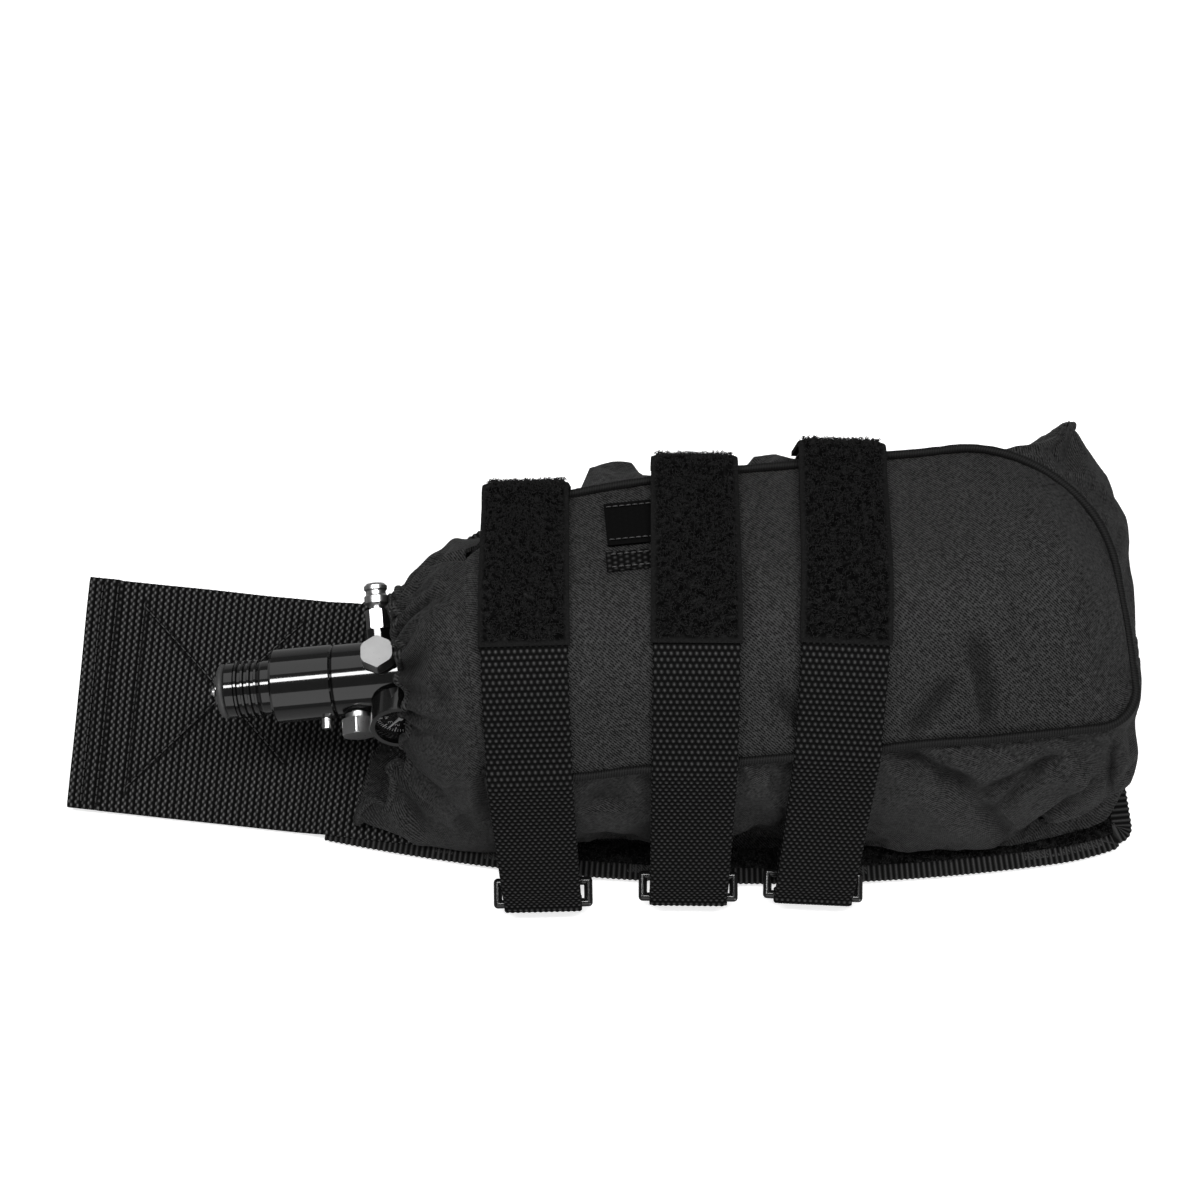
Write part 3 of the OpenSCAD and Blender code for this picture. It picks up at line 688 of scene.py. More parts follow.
def piping_path():
    """The piping line from the mouth along the top, round the closed end and back."""
    top = edge_line(np.linspace(START_X, END_X - TOP_CORNER, 60), top_edge)
    corner = arc((END_X - TOP_CORNER, TOP_Y - TOP_CORNER), TOP_CORNER, 90, 0, 30)
    low_corner = arc((END_X - LOW_CORNER, LOW_Y + LOW_CORNER), LOW_CORNER, 0, -90, 14)
    low = edge_line(np.linspace(END_X - LOW_CORNER, START_X, 80), low_edge)
    return resample(np.concatenate([top, corner[1:], low_corner, low[1:]]), 1.2)


def build_piping():
    """Cord round the front; at the mouth its upper end is sewn in under the cuff."""
    path = with_height(piping_path(), PIPING_Z + 0.4)
    path[:, 2] += 0.35 * waves(path, 24, 8)
    path[:, 1] += 0.3 * waves(path, 30, 9)
    sewn_in = np.where(path[:, 1] > 0, 1 - np.clip((path[:, 0] - START_X) / 14, 0, 1), 0)
    radius = PIPING_R * (1.02 + 0.05 * waves(path, 4, 10)) * (1 - 0.6 * sewn_in)
    path[:, 2] -= 2.0 * sewn_in
    add_piece("piping_cord", tube(path, radius, 10), "piping_cloth", "pouch", ["front_piping"])


# ---- Sides of the pouch ----

def panel_low_edge(x):
    """Lower edge of the back panel at x: a slight bow, lowest at x = 60."""
    return -86.4 + 0.00061 * (x - 60) ** 2 + 0.004 * np.maximum(x - 96, 0) ** 2


def wall_foot(x):
    """Lower line where the fabric meets the back panel, some way in from the panel's edge."""
    inset = np.interp(x, [-112, -96, -75, -20, 10, 40, 80, 110], [6, 9, 14.5, 18, 15, 11, 8.5, 11])
    return panel_low_edge(x) + inset


def top_foot(x):
    """Upper line where the fabric meets the back panel."""
    return np.interp(x, [-112, -96, -80, 60], [50, 62, 68, 69])


def foot_path():
    """Where the side walls are sewn to the back panel, from the mouth round to the mouth."""
    top_end, low_end = 98.0, 106.0
    low_r = 16
    top = edge_line(np.linspace(START_X, top_end, 60), top_foot)
    corner = arc((top_end, 45), 24, 90, 0, 14)
    low_corner = arc((low_end, wall_foot(low_end) + low_r), low_r, 0, -90, 14)
    low = edge_line(np.linspace(low_end, START_X, 60), wall_foot)
    return resample(np.concatenate([top, corner[1:], low_corner, low[1:]]), 1.0)


def match_by_keys(path, keys):
    """Points along a path, shared out so that the key points fall at the same places on every path."""
    distance = distance_along(path)
    at = [distance[np.argmin(np.linalg.norm(path - key, axis=1))] for key in keys]
    steps = np.interp(np.linspace(0, 1, WALL_COLUMNS), KEY_SHARES, at)
    return np.stack([np.interp(steps, distance, path[:, k]) for k in range(2)], -1)


EAR = (116, 74.5)
BELLY = [
    # outline of the side walls half-way down, with the two square corners of the closed end
    (-112, 42), (-92, 53), (-76, 64), (-58, 73.5), (-46, 70), (-24, 64), (-4, 68), (14, 69), (26, 62),
    (62, 60), (92, 62.5), (104, 71), EAR, (126.5, 44), (124, 8), (118, -34), (116, -60), (96, -66),
    (60, -66), (24, -62), (0, -60), (-36, -58), (-75, -57), (-112, -55),
]


WALL_COLUMNS = 280
KEY_SHARES = [0, 0.385, 0.45, 0.60, 0.645, 1]


def side_walls():
    """Grid of the side walls: along the outline, then from the piping down to the back panel."""
    head = match_by_keys(piping_path(), [
        (START_X, top_edge(START_X)), (90, top_edge(90.0)), (END_X - 1, 22), (END_X, -31),
        (100, LOW_Y), (START_X, low_edge(START_X)),
    ])
    belly = match_by_keys(resample(np.array(BELLY, float), 0.8), [
        BELLY[0], EAR, (126.5, 44), (118, -34), (116, -60), BELLY[-1],
    ])
    base = match_by_keys(foot_path(), [
        (START_X, 50), (114, 63), (122, 44), (122, -50), (108, wall_foot(108.0)),
        (START_X, wall_foot(START_X)),
    ])
    belly = smooth(belly, 2)
    drop = np.linspace(0, 1, 44)[None, :, None]
    chord = head[:, None] * (1 - drop) + base[:, None] * drop
    outline = chord + 4 * drop * (1 - drop) * (belly - (head + base) / 2)[:, None]
    top_z, foot_z = PIPING_Z - 0.8, PANEL_T + 1.6
    return with_height(outline, top_z + (foot_z - top_z) * drop[..., 0])


CLOTH_SCALE = 5.0
CLOTH_FRAMES = 26
MOST_MOVE = 3.2
CLOTH_SETTINGS = {
    "quality": 6,
    "mass": 0.3,
    "tension_stiffness": 20,
    "compression_stiffness": 20,
    "shear_stiffness": 8,
    "bending_stiffness": 0.6,
    "vertex_group_mass": "held",
    "shrink_min": -0.05,
}


def settle(grid, held):
    """Lets a grid of cloth, a little too large for its held edges, crumple."""
    rows, columns = grid.shape[:2]
    index = grid_index(rows, columns)
    mesh = bpy.data.meshes.new("settling")
    mesh.from_pydata((grid.reshape(-1, 3) * MM * CLOTH_SCALE).tolist(), [], grid_quads(index).tolist())
    cloth = add_object("settling", mesh)
    scene = bpy.context.scene
    pinned = cloth.vertex_groups.new(name="held")
    pinned.add(index[held].tolist(), 1.0, "REPLACE")
    modifier = cloth.modifiers.new("cloth", "CLOTH")
    for key, value in CLOTH_SETTINGS.items():
        setattr(modifier.settings, key, value)
    modifier.settings.effector_weights.gravity = 0
    modifier.collision_settings.use_collision = False
    for step in range(1, CLOTH_FRAMES + 1):
        scene.frame_set(step)
    solved = cloth.evaluated_get(bpy.context.evaluated_depsgraph_get())
    place = np.zeros(rows * columns * 3)
    solved.data.vertices.foreach_get("co", place)
    scene.frame_set(1)
    bpy.data.objects.remove(cloth)
    move = place.reshape(rows, columns, 3) / MM / CLOTH_SCALE - grid
    size = np.linalg.norm(move, axis=-1, keepdims=True)
    return grid + move * np.minimum(1, MOST_MOVE / np.maximum(size, 1e-6))


def finer(grid):
    """The grid with twice the points each way, on smooth curves through the old ones."""
    for axis in (0, 1):
        grid = np.moveaxis(grid, axis, 0)
        padded = np.concatenate([2 * grid[:1] - grid[1:2], grid, 2 * grid[-1:] - grid[-2:-1]])
        full = np.empty((2 * len(grid) - 1, *grid.shape[1:]))
        full[0::2] = grid
        full[1::2] = (9 * (padded[1:-2] + padded[2:-1]) - padded[:-3] - padded[3:]) / 16
        grid = np.moveaxis(full, 0, axis)
    return grid


def keep_off_tank(points, clearance):
    """Pushes points out of the bottle."""
    y, z = points[..., 1], points[..., 2] - AXIS_Z
    radius = tank_radius(points[..., 0], clearance)
    away = np.maximum(radius / np.maximum(np.hypot(y, z), 1e-6), 1)
    return np.stack([points[..., 0], y * away, AXIS_Z + z * away], -1)


WALL_CREASES = [
    # start, end, half-width and depth of the folds in the lower wall
    ((27, -45), (60, -63), 2.6, 5.0), ((60, -63), (85, -53), 2.4, 4.0), ((85, -53), (66, -68), 1.8, 3.0),
    ((77, -78), (104, -60), 2.2, 4.0), ((104, -48), (111, -66), 2.2, 3.5), ((60, -66), (77, -78), 2.4, 3.0),
    ((44, -50), (72, -52), 5.0, -2.5), ((36, -60), (56, -72), 4.0, -2.5), ((92, -55), (98, -66), 3.5, -2.5),
    ((-16, -46), (-10, -60), 1.3, 1.6), ((-10, -60), (-3, -66), 1.3, 1.6),
    ((-80, -50), (-56, -58), 3.0, 1.6),
]


def tuck_under_straps(points):
    """Presses the cloth down wherever it would come through a strap."""
    half_w = 22
    for number in STRAP_NUMBERS:
        strap = Strap(number)
        offset = points[..., :2] - strap.bar[:2]
        side = np.abs(offset @ strap.across)
        near = side < half_w
        place = np.stack([(offset @ strap.along)[near], points[..., 2][near]], -1)
        gap = np.linalg.norm(place[:, None] - strap.line[None], axis=-1)
        nearest = gap.argmin(1)
        outward = outward_of(strap.line)[nearest]
        proud = ((place - strap.line[nearest]) * outward).sum(1) + 2.4
        weight = np.clip((half_w - side[near]) / 6, 0, 1) * (gap.min(1) < 14)
        push = outward * (np.maximum(proud, 0) * weight)[:, None]
        points[near, :2] -= push[:, :1] * strap.along
        points[near, 2] -= push[:, 1]
    return points


def build_side_walls():
    """Crumpled walls round the pouch, with the folds of the lower wall drawn in."""
    walls = side_walls()
    held = np.zeros(walls.shape[:2], bool)
    held[:, [0, -1]] = True
    held[[0, -1]] = True
    ear = np.linalg.norm(walls[..., :2] - EAR, axis=-1).argmin(0)
    held[ear, np.arange(walls.shape[1])] = True
    walls = finer(settle(walls, held))
    down = np.linspace(0, 1, walls.shape[1])
    crumple = waves(walls, 30, 21) * 0.7 + waves(walls * (1, 1, 0.6), 9, 22) * 0.22
    depth = crease_depth(walls, WALL_CREASES) * np.clip((-walls[..., 1] - 40) / 6, 0, 1)
    # Painted shade in the folds of the lower wall and in the hollows of the crumples.
    shade = np.clip(0.16 * depth - 0.12 * crumple, 0, 0.7)
    free = np.sin(np.pi * down) ** 0.5
    walls = walls + grid_normals(walls) * ((crumple - depth) * free)[..., None]
    walls = keep_off_tank(tuck_under_straps(walls), SKIN_T + 0.4)
    walls[..., 2] = np.maximum(walls[..., 2], PANEL_T + 1.6)
    add_piece("side_wall_cloth", sheet(walls, relief_shade=shade), "pouch_fabric", "pouch",
              ["top_gusset", "bottom_gusset", "end_gusset"])
    return walls


# ---- Cuff ----

HEM = [
    # angle round the axis from the strap side, place along the bottle, distance from the axis
    (0, -140.5, 26), (45, -138.5, 26.5), (90, -137, 26), (135, -137, 26.5), (160, -138, 27),
    (180, -140, 28), (200, -147, 37), (212, -157, 51), (224, -169, 66), (240, -160, 54.5),
    (270, -150, 47.3), (300, -148, 54.5), (315, -146, 48), (335, -142, 33),
]


# How many of each go round the cuff
BIG_PLEATS = 11
SMALL_PLEATS = 25
HEM_RUFFLES = 46


def cuff_ends(walls, angles):
    """The cuff's ends at each angle: distance of the pouch's mouth from the axis, and the hem's line."""
    under = np.column_stack([np.linspace(-50, 45, 20), np.full(20, PANEL_T + 1.2)])
    mouth = np.concatenate([front[0, :, 1:], walls[0, :, 1:], walls[-1, ::-1, 1:], under]) - (0, AXIS_Z)
    polar = np.degrees(np.arctan2(mouth[:, 1], mouth[:, 0])) % 360
    order = np.argsort(polar)
    root_r = np.interp(angles, polar[order], np.hypot(mouth[:, 0], mouth[:, 1])[order], period=360)
    keys = np.array(HEM, float)
    hem = np.stack([np.interp(angles, keys[:, 0], keys[:, k], period=360) for k in (1, 2)])
    for _ in range(6):
        hem = (np.roll(hem, 1, 1) + 2 * hem + np.roll(hem, -1, 1)) / 4
    return root_r, hem[0], hem[1]


def build_cuff(walls):
    """Gathered cuff between the pouch's mouth and its elastic hem round the regulator."""
    angles = np.linspace(0, 360, 264, endpoint=False)
    turn = np.radians(angles)[None]
    round_y, round_z = np.cos(turn), np.sin(turn)
    root_r, hem_x, hem_r = cuff_ends(walls, angles)
    along = np.linspace(0, 1, 72)[:, None]
    belly = np.sin(np.pi * along)
    shape = np.cos(np.pi / 2 * along) ** (0.75 + 0.3 * np.clip(round_y, 0, 1))
    swell = 3.0 * belly * np.clip(round_z + 0.6, 0, 1) * np.clip(1.2 - round_y, 0.3, 1)
    radius = hem_r + (root_r - hem_r) * shape + swell
    x = START_X + (hem_x - START_X) * along

    def ring(along_x, r):
        return np.stack(np.broadcast_arrays(along_x, r * round_y, r * round_z), -1)

    wander = 1.3 * waves(ring(0.02 * x, 1), 1.1, 31)
    folds = np.sin(BIG_PLEATS * turn + 2.6 * wander + 1.5 * along)
    folds = np.sign(folds) * np.abs(folds) ** 0.8
    finer_folds = np.sin(SMALL_PLEATS * turn + 4 * wander + 2)
    grow = along**1.5
    free = np.clip((radius * round_z + AXIS_Z - PANEL_T - 2) / 12, 0.25, 1)
    pleats = (3.8 * folds * grow + 1.7 * finer_folds * grow**1.6) * free
    cloth = belly * waves(ring(1.6 * x, 30), 14, 33)
    radius = radius + pleats + 1.7 * cloth * free
    x = x + 1.5 * folds * grow * free - 0.9 * finer_folds * grow
    points = ring(x, radius) + (0, 0, AXIS_Z)
    points[..., 2] = np.maximum(points[..., 2], PANEL_T + 1.3)
    # Painted shade in the hollows between the pleats and in the dents of the cloth.
    shade = np.clip(-0.14 * pleats - 0.22 * cloth, 0, 0.65)
    add_piece("cuff_cloth", sheet(points, wrap=True, relief_shade=shade), "pouch_fabric", "pouch", ["cuff"])
    hem = (points[-1] + np.roll(points[-1], 1, 0)) / 2
    hem_radius = 1.5 * (1 + 0.16 * np.sin(HEM_RUFFLES * turn[0] + 5 * wander[-1]))
    add_piece("cuff_hem", tube(hem, hem_radius, 10, closed=True), "pouch_fabric", "pouch", ["cuff_elastic"])


# ---- Back panel ----

HINGE = np.array([-171.0, -5.0])
WING_TILT = math.radians(11.4)
WING_SIDE = np.array([math.sin(WING_TILT), math.cos(WING_TILT)])
WING_OUT = np.array([-math.cos(WING_TILT), math.sin(WING_TILT)])
WING_W = 91.0
WING_LEN = 104.0
PANEL_CORNER = 6.0


def hinge_end(side, inset=0.0):
    """One end of the wing's fold line: side is -1 for the lower end and 1 for the upper."""
    return HINGE + WING_SIDE * side * (WING_W / 2 - inset)


def panel_top_edge(x):
    hinge_x, hinge_y = hinge_end(1)
    return np.interp(x, [hinge_x, -136, -120, -98, PANEL_END], [hinge_y, 46, 61, PANEL_TOP, PANEL_TOP])


def panel_grid(inset, z):
    """Grid over the back panel, moved in from its bound edges."""
    across = np.linspace(0, 1, 90)
    run = np.linspace(0, 1, 190)[:, None]
    low_x, top_x = hinge_end(-1, inset)[0], hinge_end(1, inset)[0]
    start_x = low_x + (top_x - low_x) * across
    x = start_x + (PANEL_END - inset - start_x) * run
    corner = np.clip(x - (PANEL_END - inset - PANEL_CORNER), 0, PANEL_CORNER)
    low = panel_low_edge(x) + inset + PANEL_CORNER - np.sqrt(PANEL_CORNER**2 - corner**2)
    top = panel_top_edge(x) - inset
    return np.stack([x, low + (top - low) * across, np.full_like(x, z)], -1)


def build_back_panel():
    inset = 2.6
    top = panel_grid(inset, PANEL_T)
    top[..., 2] += 0.35 * waves(top, 22, 41) + 0.12 * waves(top, 5, 42)
    back = panel_grid(inset, 0.25)
    back[..., 2] += 0.2 + 0.2 * waves(back, 30, 43)
    add_piece("back_panel_cloth", sheet(top, back=back), "pouch_fabric", "pouch",
              ["back_panel", "back_foam"])


def panel_border():
    """Outline of the back panel from the hinge's lower end round to its upper end."""
    low = edge_line(np.linspace(hinge_end(-1)[0], PANEL_END - PANEL_CORNER, 120), panel_low_edge)
    centre = (PANEL_END - PANEL_CORNER, panel_low_edge(PANEL_END) + PANEL_CORNER)
    corner = arc(centre, PANEL_CORNER, -90, 0, 8)
    top = edge_line(np.array([PANEL_END, -98, -120, -136, hinge_end(1)[0]]), panel_top_edge)
    return np.concatenate([low, corner, top])


def binding_section(thick):
    """Webbing folded over an edge, as distances in from the fold and heights; the last four lie inside."""
    fold = 1.2
    reach = 7.5
    turns = np.linspace(-np.pi / 2, np.pi / 2, 9)
    outside = [(fold - fold * math.cos(turn), thick * math.sin(turn)) for turn in turns]
    inside = [(reach, thick - 1), (2.2, thick - 1.2), (2.2, 1.2 - thick), (reach, 1 - thick)]
    return np.array([(reach, -thick), *outside, (reach, thick), *inside])


def build_binding():
    """Ribbed webbing folded over the panel's edge."""
    step = 0.42
    rib_pitch = 2.1
    rib_height = 0.4
    border = smooth(resample(panel_border(), step), 6)
    ahead = unit(np.gradient(border, axis=0))
    inward = np.stack([-ahead[:, 1], ahead[:, 0]], -1)
    ribs = (0.5 + 0.5 * np.cos(2 * np.pi * step * np.arange(len(border)) / rib_pitch))[:, None]
    thick = BINDING_T / 2 - 0.35
    section = binding_section(thick)
    sides = len(section)
    lift = rib_height * ribs * (np.arange(sides) < sides - 4)
    out = unit(section - (4, 0))[:, 0]
    side = section[:, 0] + lift * np.minimum(out, 0)
    height = section[:, 1] + lift * np.sign(section[:, 1]) * (np.abs(section[:, 1]) > thick * 0.6)
    flat = border[:, None] + inward[:, None] * side[..., None]
    points = with_height(flat, BINDING_T / 2 + height)
    index = close_ring(grid_index(len(border), sides))
    # Painted highlight on the tops of the ribs and painted shade between them.
    relief_shade = 0.2 + 0.55 * ribs * np.ones(sides)
    part = Part(points, grid_quads(index)[:, ::-1], flat_map(points), relief_shade)
    add_piece("edge_binding_tape", part, "webbing", "pouch", ["edge_binding"])


FIBRE_R = 0.11


def fibres(points, normals, count, length, seed):
    """Short bent fibres standing on a surface."""
    random = np.random.default_rng(seed)
    flat_points, flat_normals = points.reshape(-1, 3), normals.reshape(-1, 3)
    chosen = random.integers(0, len(flat_points), count)
    base = flat_points[chosen] + random.normal(0, 0.2, (count, 3)) * (1, 1, 0)
    lean = unit(flat_normals[chosen] + random.normal(0, 0.55, (count, 3)))
    side = unit(np.cross(lean, random.normal(size=(count, 3))))
    other = np.cross(lean, side)
    loop = np.array([[0, 0, -0.25], [0.12, 0, 0.35], [0.35, 0, 0.8], [0.75, 0, 0.85], [1.0, 0, 0.4]])
    template = tube(loop * length, FIBRE_R, 4)
    # Painted highlight: the standing fibres get the lightest tone of the pile.
    template.relief_shade[:] = 1.0
    return scatter(template, base, np.stack([side, other, lean], 1))


def pile(points, normals, seed, height):
    """A grid raised into looped pile, and the pile's height per point, which also sets its painted
    highlight.
    """
    random = np.random.default_rng(seed)
    rough = random.uniform(0, 1, points.shape[:2])
    rough = (rough + np.roll(rough, 1, 0) + np.roll(rough, 1, 1)) / 3
    clumps = 0.5 + 0.5 * waves(points, 2.6, seed + 1)
    # Pile height, also used as painted highlight on the raised loops and painted shade between them.
    relief_shade = np.clip(0.65 * rough + 0.45 * clumps - 0.1, 0, 1)
    return points + normals * (height * relief_shade)[..., None], relief_shade


def build_hook_strip():
    """Fuzzy strip along the panel's lower edge."""
    inset = np.linspace(5.7, 13.0, 13)
    x = np.repeat(np.arange(START_X - 40, 118, 0.6)[:, None], len(inset), 1)
    points = np.stack([x, panel_low_edge(x) + inset, np.full_like(x, BINDING_T + 0.5)], -1)
    normals = grid_normals(points)
    raised, relief_shade = pile(points, normals, 51, 0.6)
    fluff = fibres(raised, normals, 2600, 0.9, 52)
    add_piece("hook_strip_pile", [sheet(raised, 1.2, relief_shade=relief_shade), fluff], "hook_and_loop", "pouch",
              ["hook_strip"])


# ---- Webbing ----

def strap_weave(run, side):
    """Relief of strap webbing: rows across it, each row a line of staggered long knots."""
    row = run / 2.05
    bar = np.abs(np.sin(np.pi * row)) ** 0.8
    knot = 0.5 + 0.5 * np.cos(2 * np.pi * (side / 2.1 + 0.5 * (np.floor(row) % 2)))
    return 0.82 * bar * (0.25 + 0.75 * knot)


def wing_weave(run, side):
    """Relief of belt webbing: cords parallel to its end, each a zigzag of small knots."""
    within = run / 2.65 % 1
    first = np.exp(-(((within - 0.3) / 0.17) ** 2)) * np.cos(np.pi * side / 2.7) ** 2
    second = np.exp(-(((within - 0.7) / 0.17) ** 2)) * np.sin(np.pi * side / 2.7) ** 2
    ground = 0.3 * np.sin(np.pi * within) ** 2
    return np.clip(np.maximum(first, second) + ground, 0, 1)


WING_SKEW = math.tan(math.radians(4.5))


def wing_place(run, side):
    """Distance past the hinge, below zero on the free wing, and the place on the webbing seen from above."""
    reach = run - WING_LEN - side * WING_SKEW * np.clip(1 - run / WING_LEN, 0, 1)
    return reach, HINGE - WING_OUT * reach[..., None] + WING_SIDE * np.asarray(side)[..., None]


def build_wing():
    """Belt webbing with a folded hem, running on over the panel up to the cuff."""
    overlap = 46.0
    hem_w = 12.5
    web_t = 2.4
    side = np.linspace(-WING_W / 2, WING_W / 2, 220)
    run = np.arange(0, WING_LEN + overlap, 0.42)[:, None]
    reach, flat = wing_place(run, side[None])
    ramp = np.clip((reach + 14) / 16, 0, 1)
    low_z, high_z = 3.6, BINDING_T + 1.9
    z = low_z + (high_z - low_z) * ramp * ramp * (3 - 2 * ramp)
    sag = 0.35 * waves(with_height(flat, z), 40, 61)
    z = z + 1.5 * np.clip((hem_w - run) / 1.2, 0, 1) + sag
    relief_shade = wing_weave(run, side[None])
    seams = seam_dent(flat)
    edge = np.minimum(side + WING_W / 2, WING_W / 2 - side)
    face_z = z + 0.55 * relief_shade - 0.5 * seams - 0.7 * np.exp(-edge / 0.7)
    back_z = np.where(reach < -2, z - web_t, np.maximum(z - 2.0, BINDING_T + 0.1))
    # Painted highlight on the raised knots of the weave, and painted shade along the stitched seam lines.
    shade = relief_shade * (1 - 0.5 * seams)
    part = sheet(with_height(flat, face_z), relief_shade=shade, back=with_height(flat, back_z))
    piece = add_piece("belt_wing_webbing", part, "webbing", None, ["belt_wing"])
    pivot = Vector((*HINGE * MM, 0))
    out = Vector((*WING_OUT, 0))
    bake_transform(piece, "pouch", "wing", start=pivot - out * 0.004, end=pivot + out * 0.010)


WING_SEAMS = [
    # ends of each seam: distance from the wing's cut end, and from its middle
    ((5.5, -43), (5.5, 43)), ((11.5, -43), (11.5, 43)),
    ((22, 36), (84, -20)), ((22, -36), (84, 36)), ((22, -38), (22, 38)),
]


def seam_dent(points):
    """How much the stitched lines pull the wing in, 0 to 1."""
    dent = np.zeros(points.shape[:2])
    for seam in WING_SEAMS:
        start, end = (wing_place(run, side)[1] for run, side in np.array(seam, float))
        gap = near_line(points, start, end)[1]
        dent = np.maximum(dent, np.exp(-((gap / 0.9) ** 2)))
    return dent


def stitches(path, pitch=3.2, length=2.3, radius=0.28):
    """A row of thread stitches lying along a path."""
    places = resample(path, pitch)
    middle = (places[:-1] + places[1:]) / 2
    ahead = unit(np.diff(places, axis=0))
    side = unit(np.cross((0.0, 0.0, 1.0), ahead))
    up = np.cross(ahead, side)
    bow = np.array([[-0.5, 0, -0.5], [-0.35, 0, 0.4], [0, 0, 0.65], [0.35, 0, 0.4], [0.5, 0, -0.5]])
    template = tube(bow * (length, 1, radius * 1.3), radius, 6)
    return scatter(template, middle, np.stack([ahead, side, up], 1))


def build_wing_stitches():
    """Seams of the wing's hem and its reinforcing cross."""
    rows = []
    for seam in WING_SEAMS:
        run, side = np.linspace(*np.array(seam, float), 40).T
        z = np.where(run < 12, 5.3, 3.75)
        rows.append(stitches(with_height(wing_place(run, side)[1], z)))
    add_piece("wing_stitching", rows, "thread", "wing")


# ---- Straps ----

class Strap:
    """Place and direction of one strap, from its ring joint, and its line over the pouch."""

    def __init__(self, number):
        joint = joint_named(f"tail_open_{number}")
        self.bar = np.array(joint["pos_m"]) / MM
        self.across = np.array(joint["axis"][:2])
        self.along = np.array([-self.across[1], self.across[0]])
        self.line = self.skin_line()

    def world(self, run, side, z):
        run, side, z = np.broadcast_arrays(run, side, z)
        flat = self.bar[:2] + self.along * run[..., None] + self.across * side[..., None]
        return with_height(flat, z)

    def run_at(self, y):
        return (y - self.bar[1]) / self.along[1]

    def skin_line(self):
        """Line of the pouch under the strap, in distance from the ring and height, from top to ring."""
        x_top = self.world(self.run_at(TOP_Y), 0.0, 0.0)[0]
        x_low = self.world(self.run_at(LOW_Y), 0.0, 0.0)[0]
        self.top_run = top = self.run_at(float(top_edge(np.clip(x_top, -85, 120))))
        low = self.run_at(float(low_edge(x_low)))
        runs = np.linspace(top - 3, low + 3, 80)
        heights = []
        for side in (-13, 0, 13):
            spots = self.world(runs, side, 0.0)
            heights.append(front_height(spots[:, 0], spots[:, 1]))
        skin = np.stack([runs, np.max(heights, 0) + 0.5], -1)
        foot = [[self.run_at(74.0), 5.0], [top + 4.2, PIPING_Z - 3]]
        over = [[top + 3.6, PIPING_Z + 1.5], [top + 0.4, PIPING_Z + 3.4]]
        under = [[low + 0.4, PIPING_Z + 2.4], [low - 1.8, PIPING_Z + 0.8]]
        ring = [[1.5, self.bar[2] + 6.0]]
        return smooth(resample(np.concatenate([foot, over, skin, under, ring]), 1.0), 8)

    def layer(self, first, last, lift, step):
        """Part of the skin line between two distances from the ring, raised by lift."""
        raised = resample(self.line + outward_of(self.line) * lift, step)
        return raised[(raised[:, 0] <= first) & (raised[:, 0] >= last)]


def outward_of(line):
    """Directions out of the pouch along a strap line that runs from the top towards the ring."""
    step = unit(np.gradient(line, axis=0))
    return np.stack([step[:, 1], -step[:, 0]], -1)


def ribbon(strap, line, width, thickness, amount, step):
    """Outer face, back and weave height of webbing along a strap line, the height also setting the painted
    highlight on its knots; amount is how proud its weave stands.
    """
    half = width / 2
    side = np.linspace(-half, half, int(width / step) + 1)
    run = np.arange(len(line)) * step
    relief_shade = strap_weave(run[:, None], side)
    round_off = 0.5 * np.exp(-np.minimum(side + half, half - side) / 0.5)
    height = amount * relief_shade - round_off

    def raised(amount_out):
        place = line[:, None] + outward_of(line)[:, None] * amount_out[..., None]
        return strap.world(place[..., 0], side, place[..., 1])

    return raised(height), raised(np.full_like(height, -thickness)), relief_shade


def web_strip(strap, line, width, thickness, amount, step):
    """Closed strip of woven webbing along a strap line."""
    points, back, relief_shade = ribbon(strap, line, width, thickness, amount, step)
    return sheet(points, relief_shade=relief_shade, back=back)


STRAP_STEP = 0.38
WRAP_R = 3.1
STRAP_W = 29.0
STRAP_NUMBERS = (1, 2, 3)
PAD_END_Y = {1: -4.2, 2: -8.3, 3: -13.2}


def base_web(strap):
    """Webbing sewn to the panel above, lying on the pouch down to the ring."""
    step = 0.9
    return web_strip(strap, strap.layer(1000, 9, 0.3, step), STRAP_W - 0.6, 1.2, 0.15, step)


def tail_web(strap, pad_end):
    """Webbing from under the pad down to the ring and round its bar."""
    tail = strap.layer(pad_end + 6, 3.0, 2.1, STRAP_STEP)
    wrap = arc((0, strap.bar[2]), WRAP_R, 110, 340, 34)
    line = smooth(resample(np.concatenate([tail, wrap]), STRAP_STEP), 5)
    return web_strip(strap, line, STRAP_W, 1.4, 0.5, STRAP_STEP)


def loop_pad(strap, number, pad_end):
    """Loop pile on the upper half of the strap, with a plain woven border."""
    step = 0.55
    line = strap.layer(strap.top_run + 12, pad_end, 3.4, step)
    points, back, _ = ribbon(strap, line, STRAP_W + 1.5, 2.2, 0, step)
    normals = grid_normals(points)
    raised, relief_shade = pile(points, normals, 70 + number, 0.9)
    rows, columns = relief_shade.shape
    side_gap = np.minimum(np.arange(columns), np.arange(columns)[::-1])
    end_gap = np.arange(rows)[::-1, None]
    inside = np.clip((np.minimum(side_gap, end_gap) * step - 1.4) / 0.8, 0, 1)
    raised = points + (raised - points) * inside[..., None]
    relief_shade = relief_shade * inside + 0.75 * (1 - inside)
    middle = (slice(None, -4), slice(4, -4))
    fluff = fibres(raised[middle], normals[middle], 4200, 1.0, 80 + number)
    return [sheet(raised, relief_shade=relief_shade, back=back), fluff]


def ring_tab(strap):
    """Webbing round the ring's back bar, both ends sewn to the panel."""
    step = 0.6
    bar_run, bar_r, sewn_run = 8.0, 2.3, 17.0
    bar_z = strap.bar[2]
    wrap = arc((bar_run, bar_z), bar_r, 270, 70, 20)
    line = resample([(sewn_run, bar_z - bar_r), *wrap, (sewn_run, bar_z - 1.0)], step)
    return web_strip(strap, line, STRAP_W - 2, 0.9, 0.2, step)


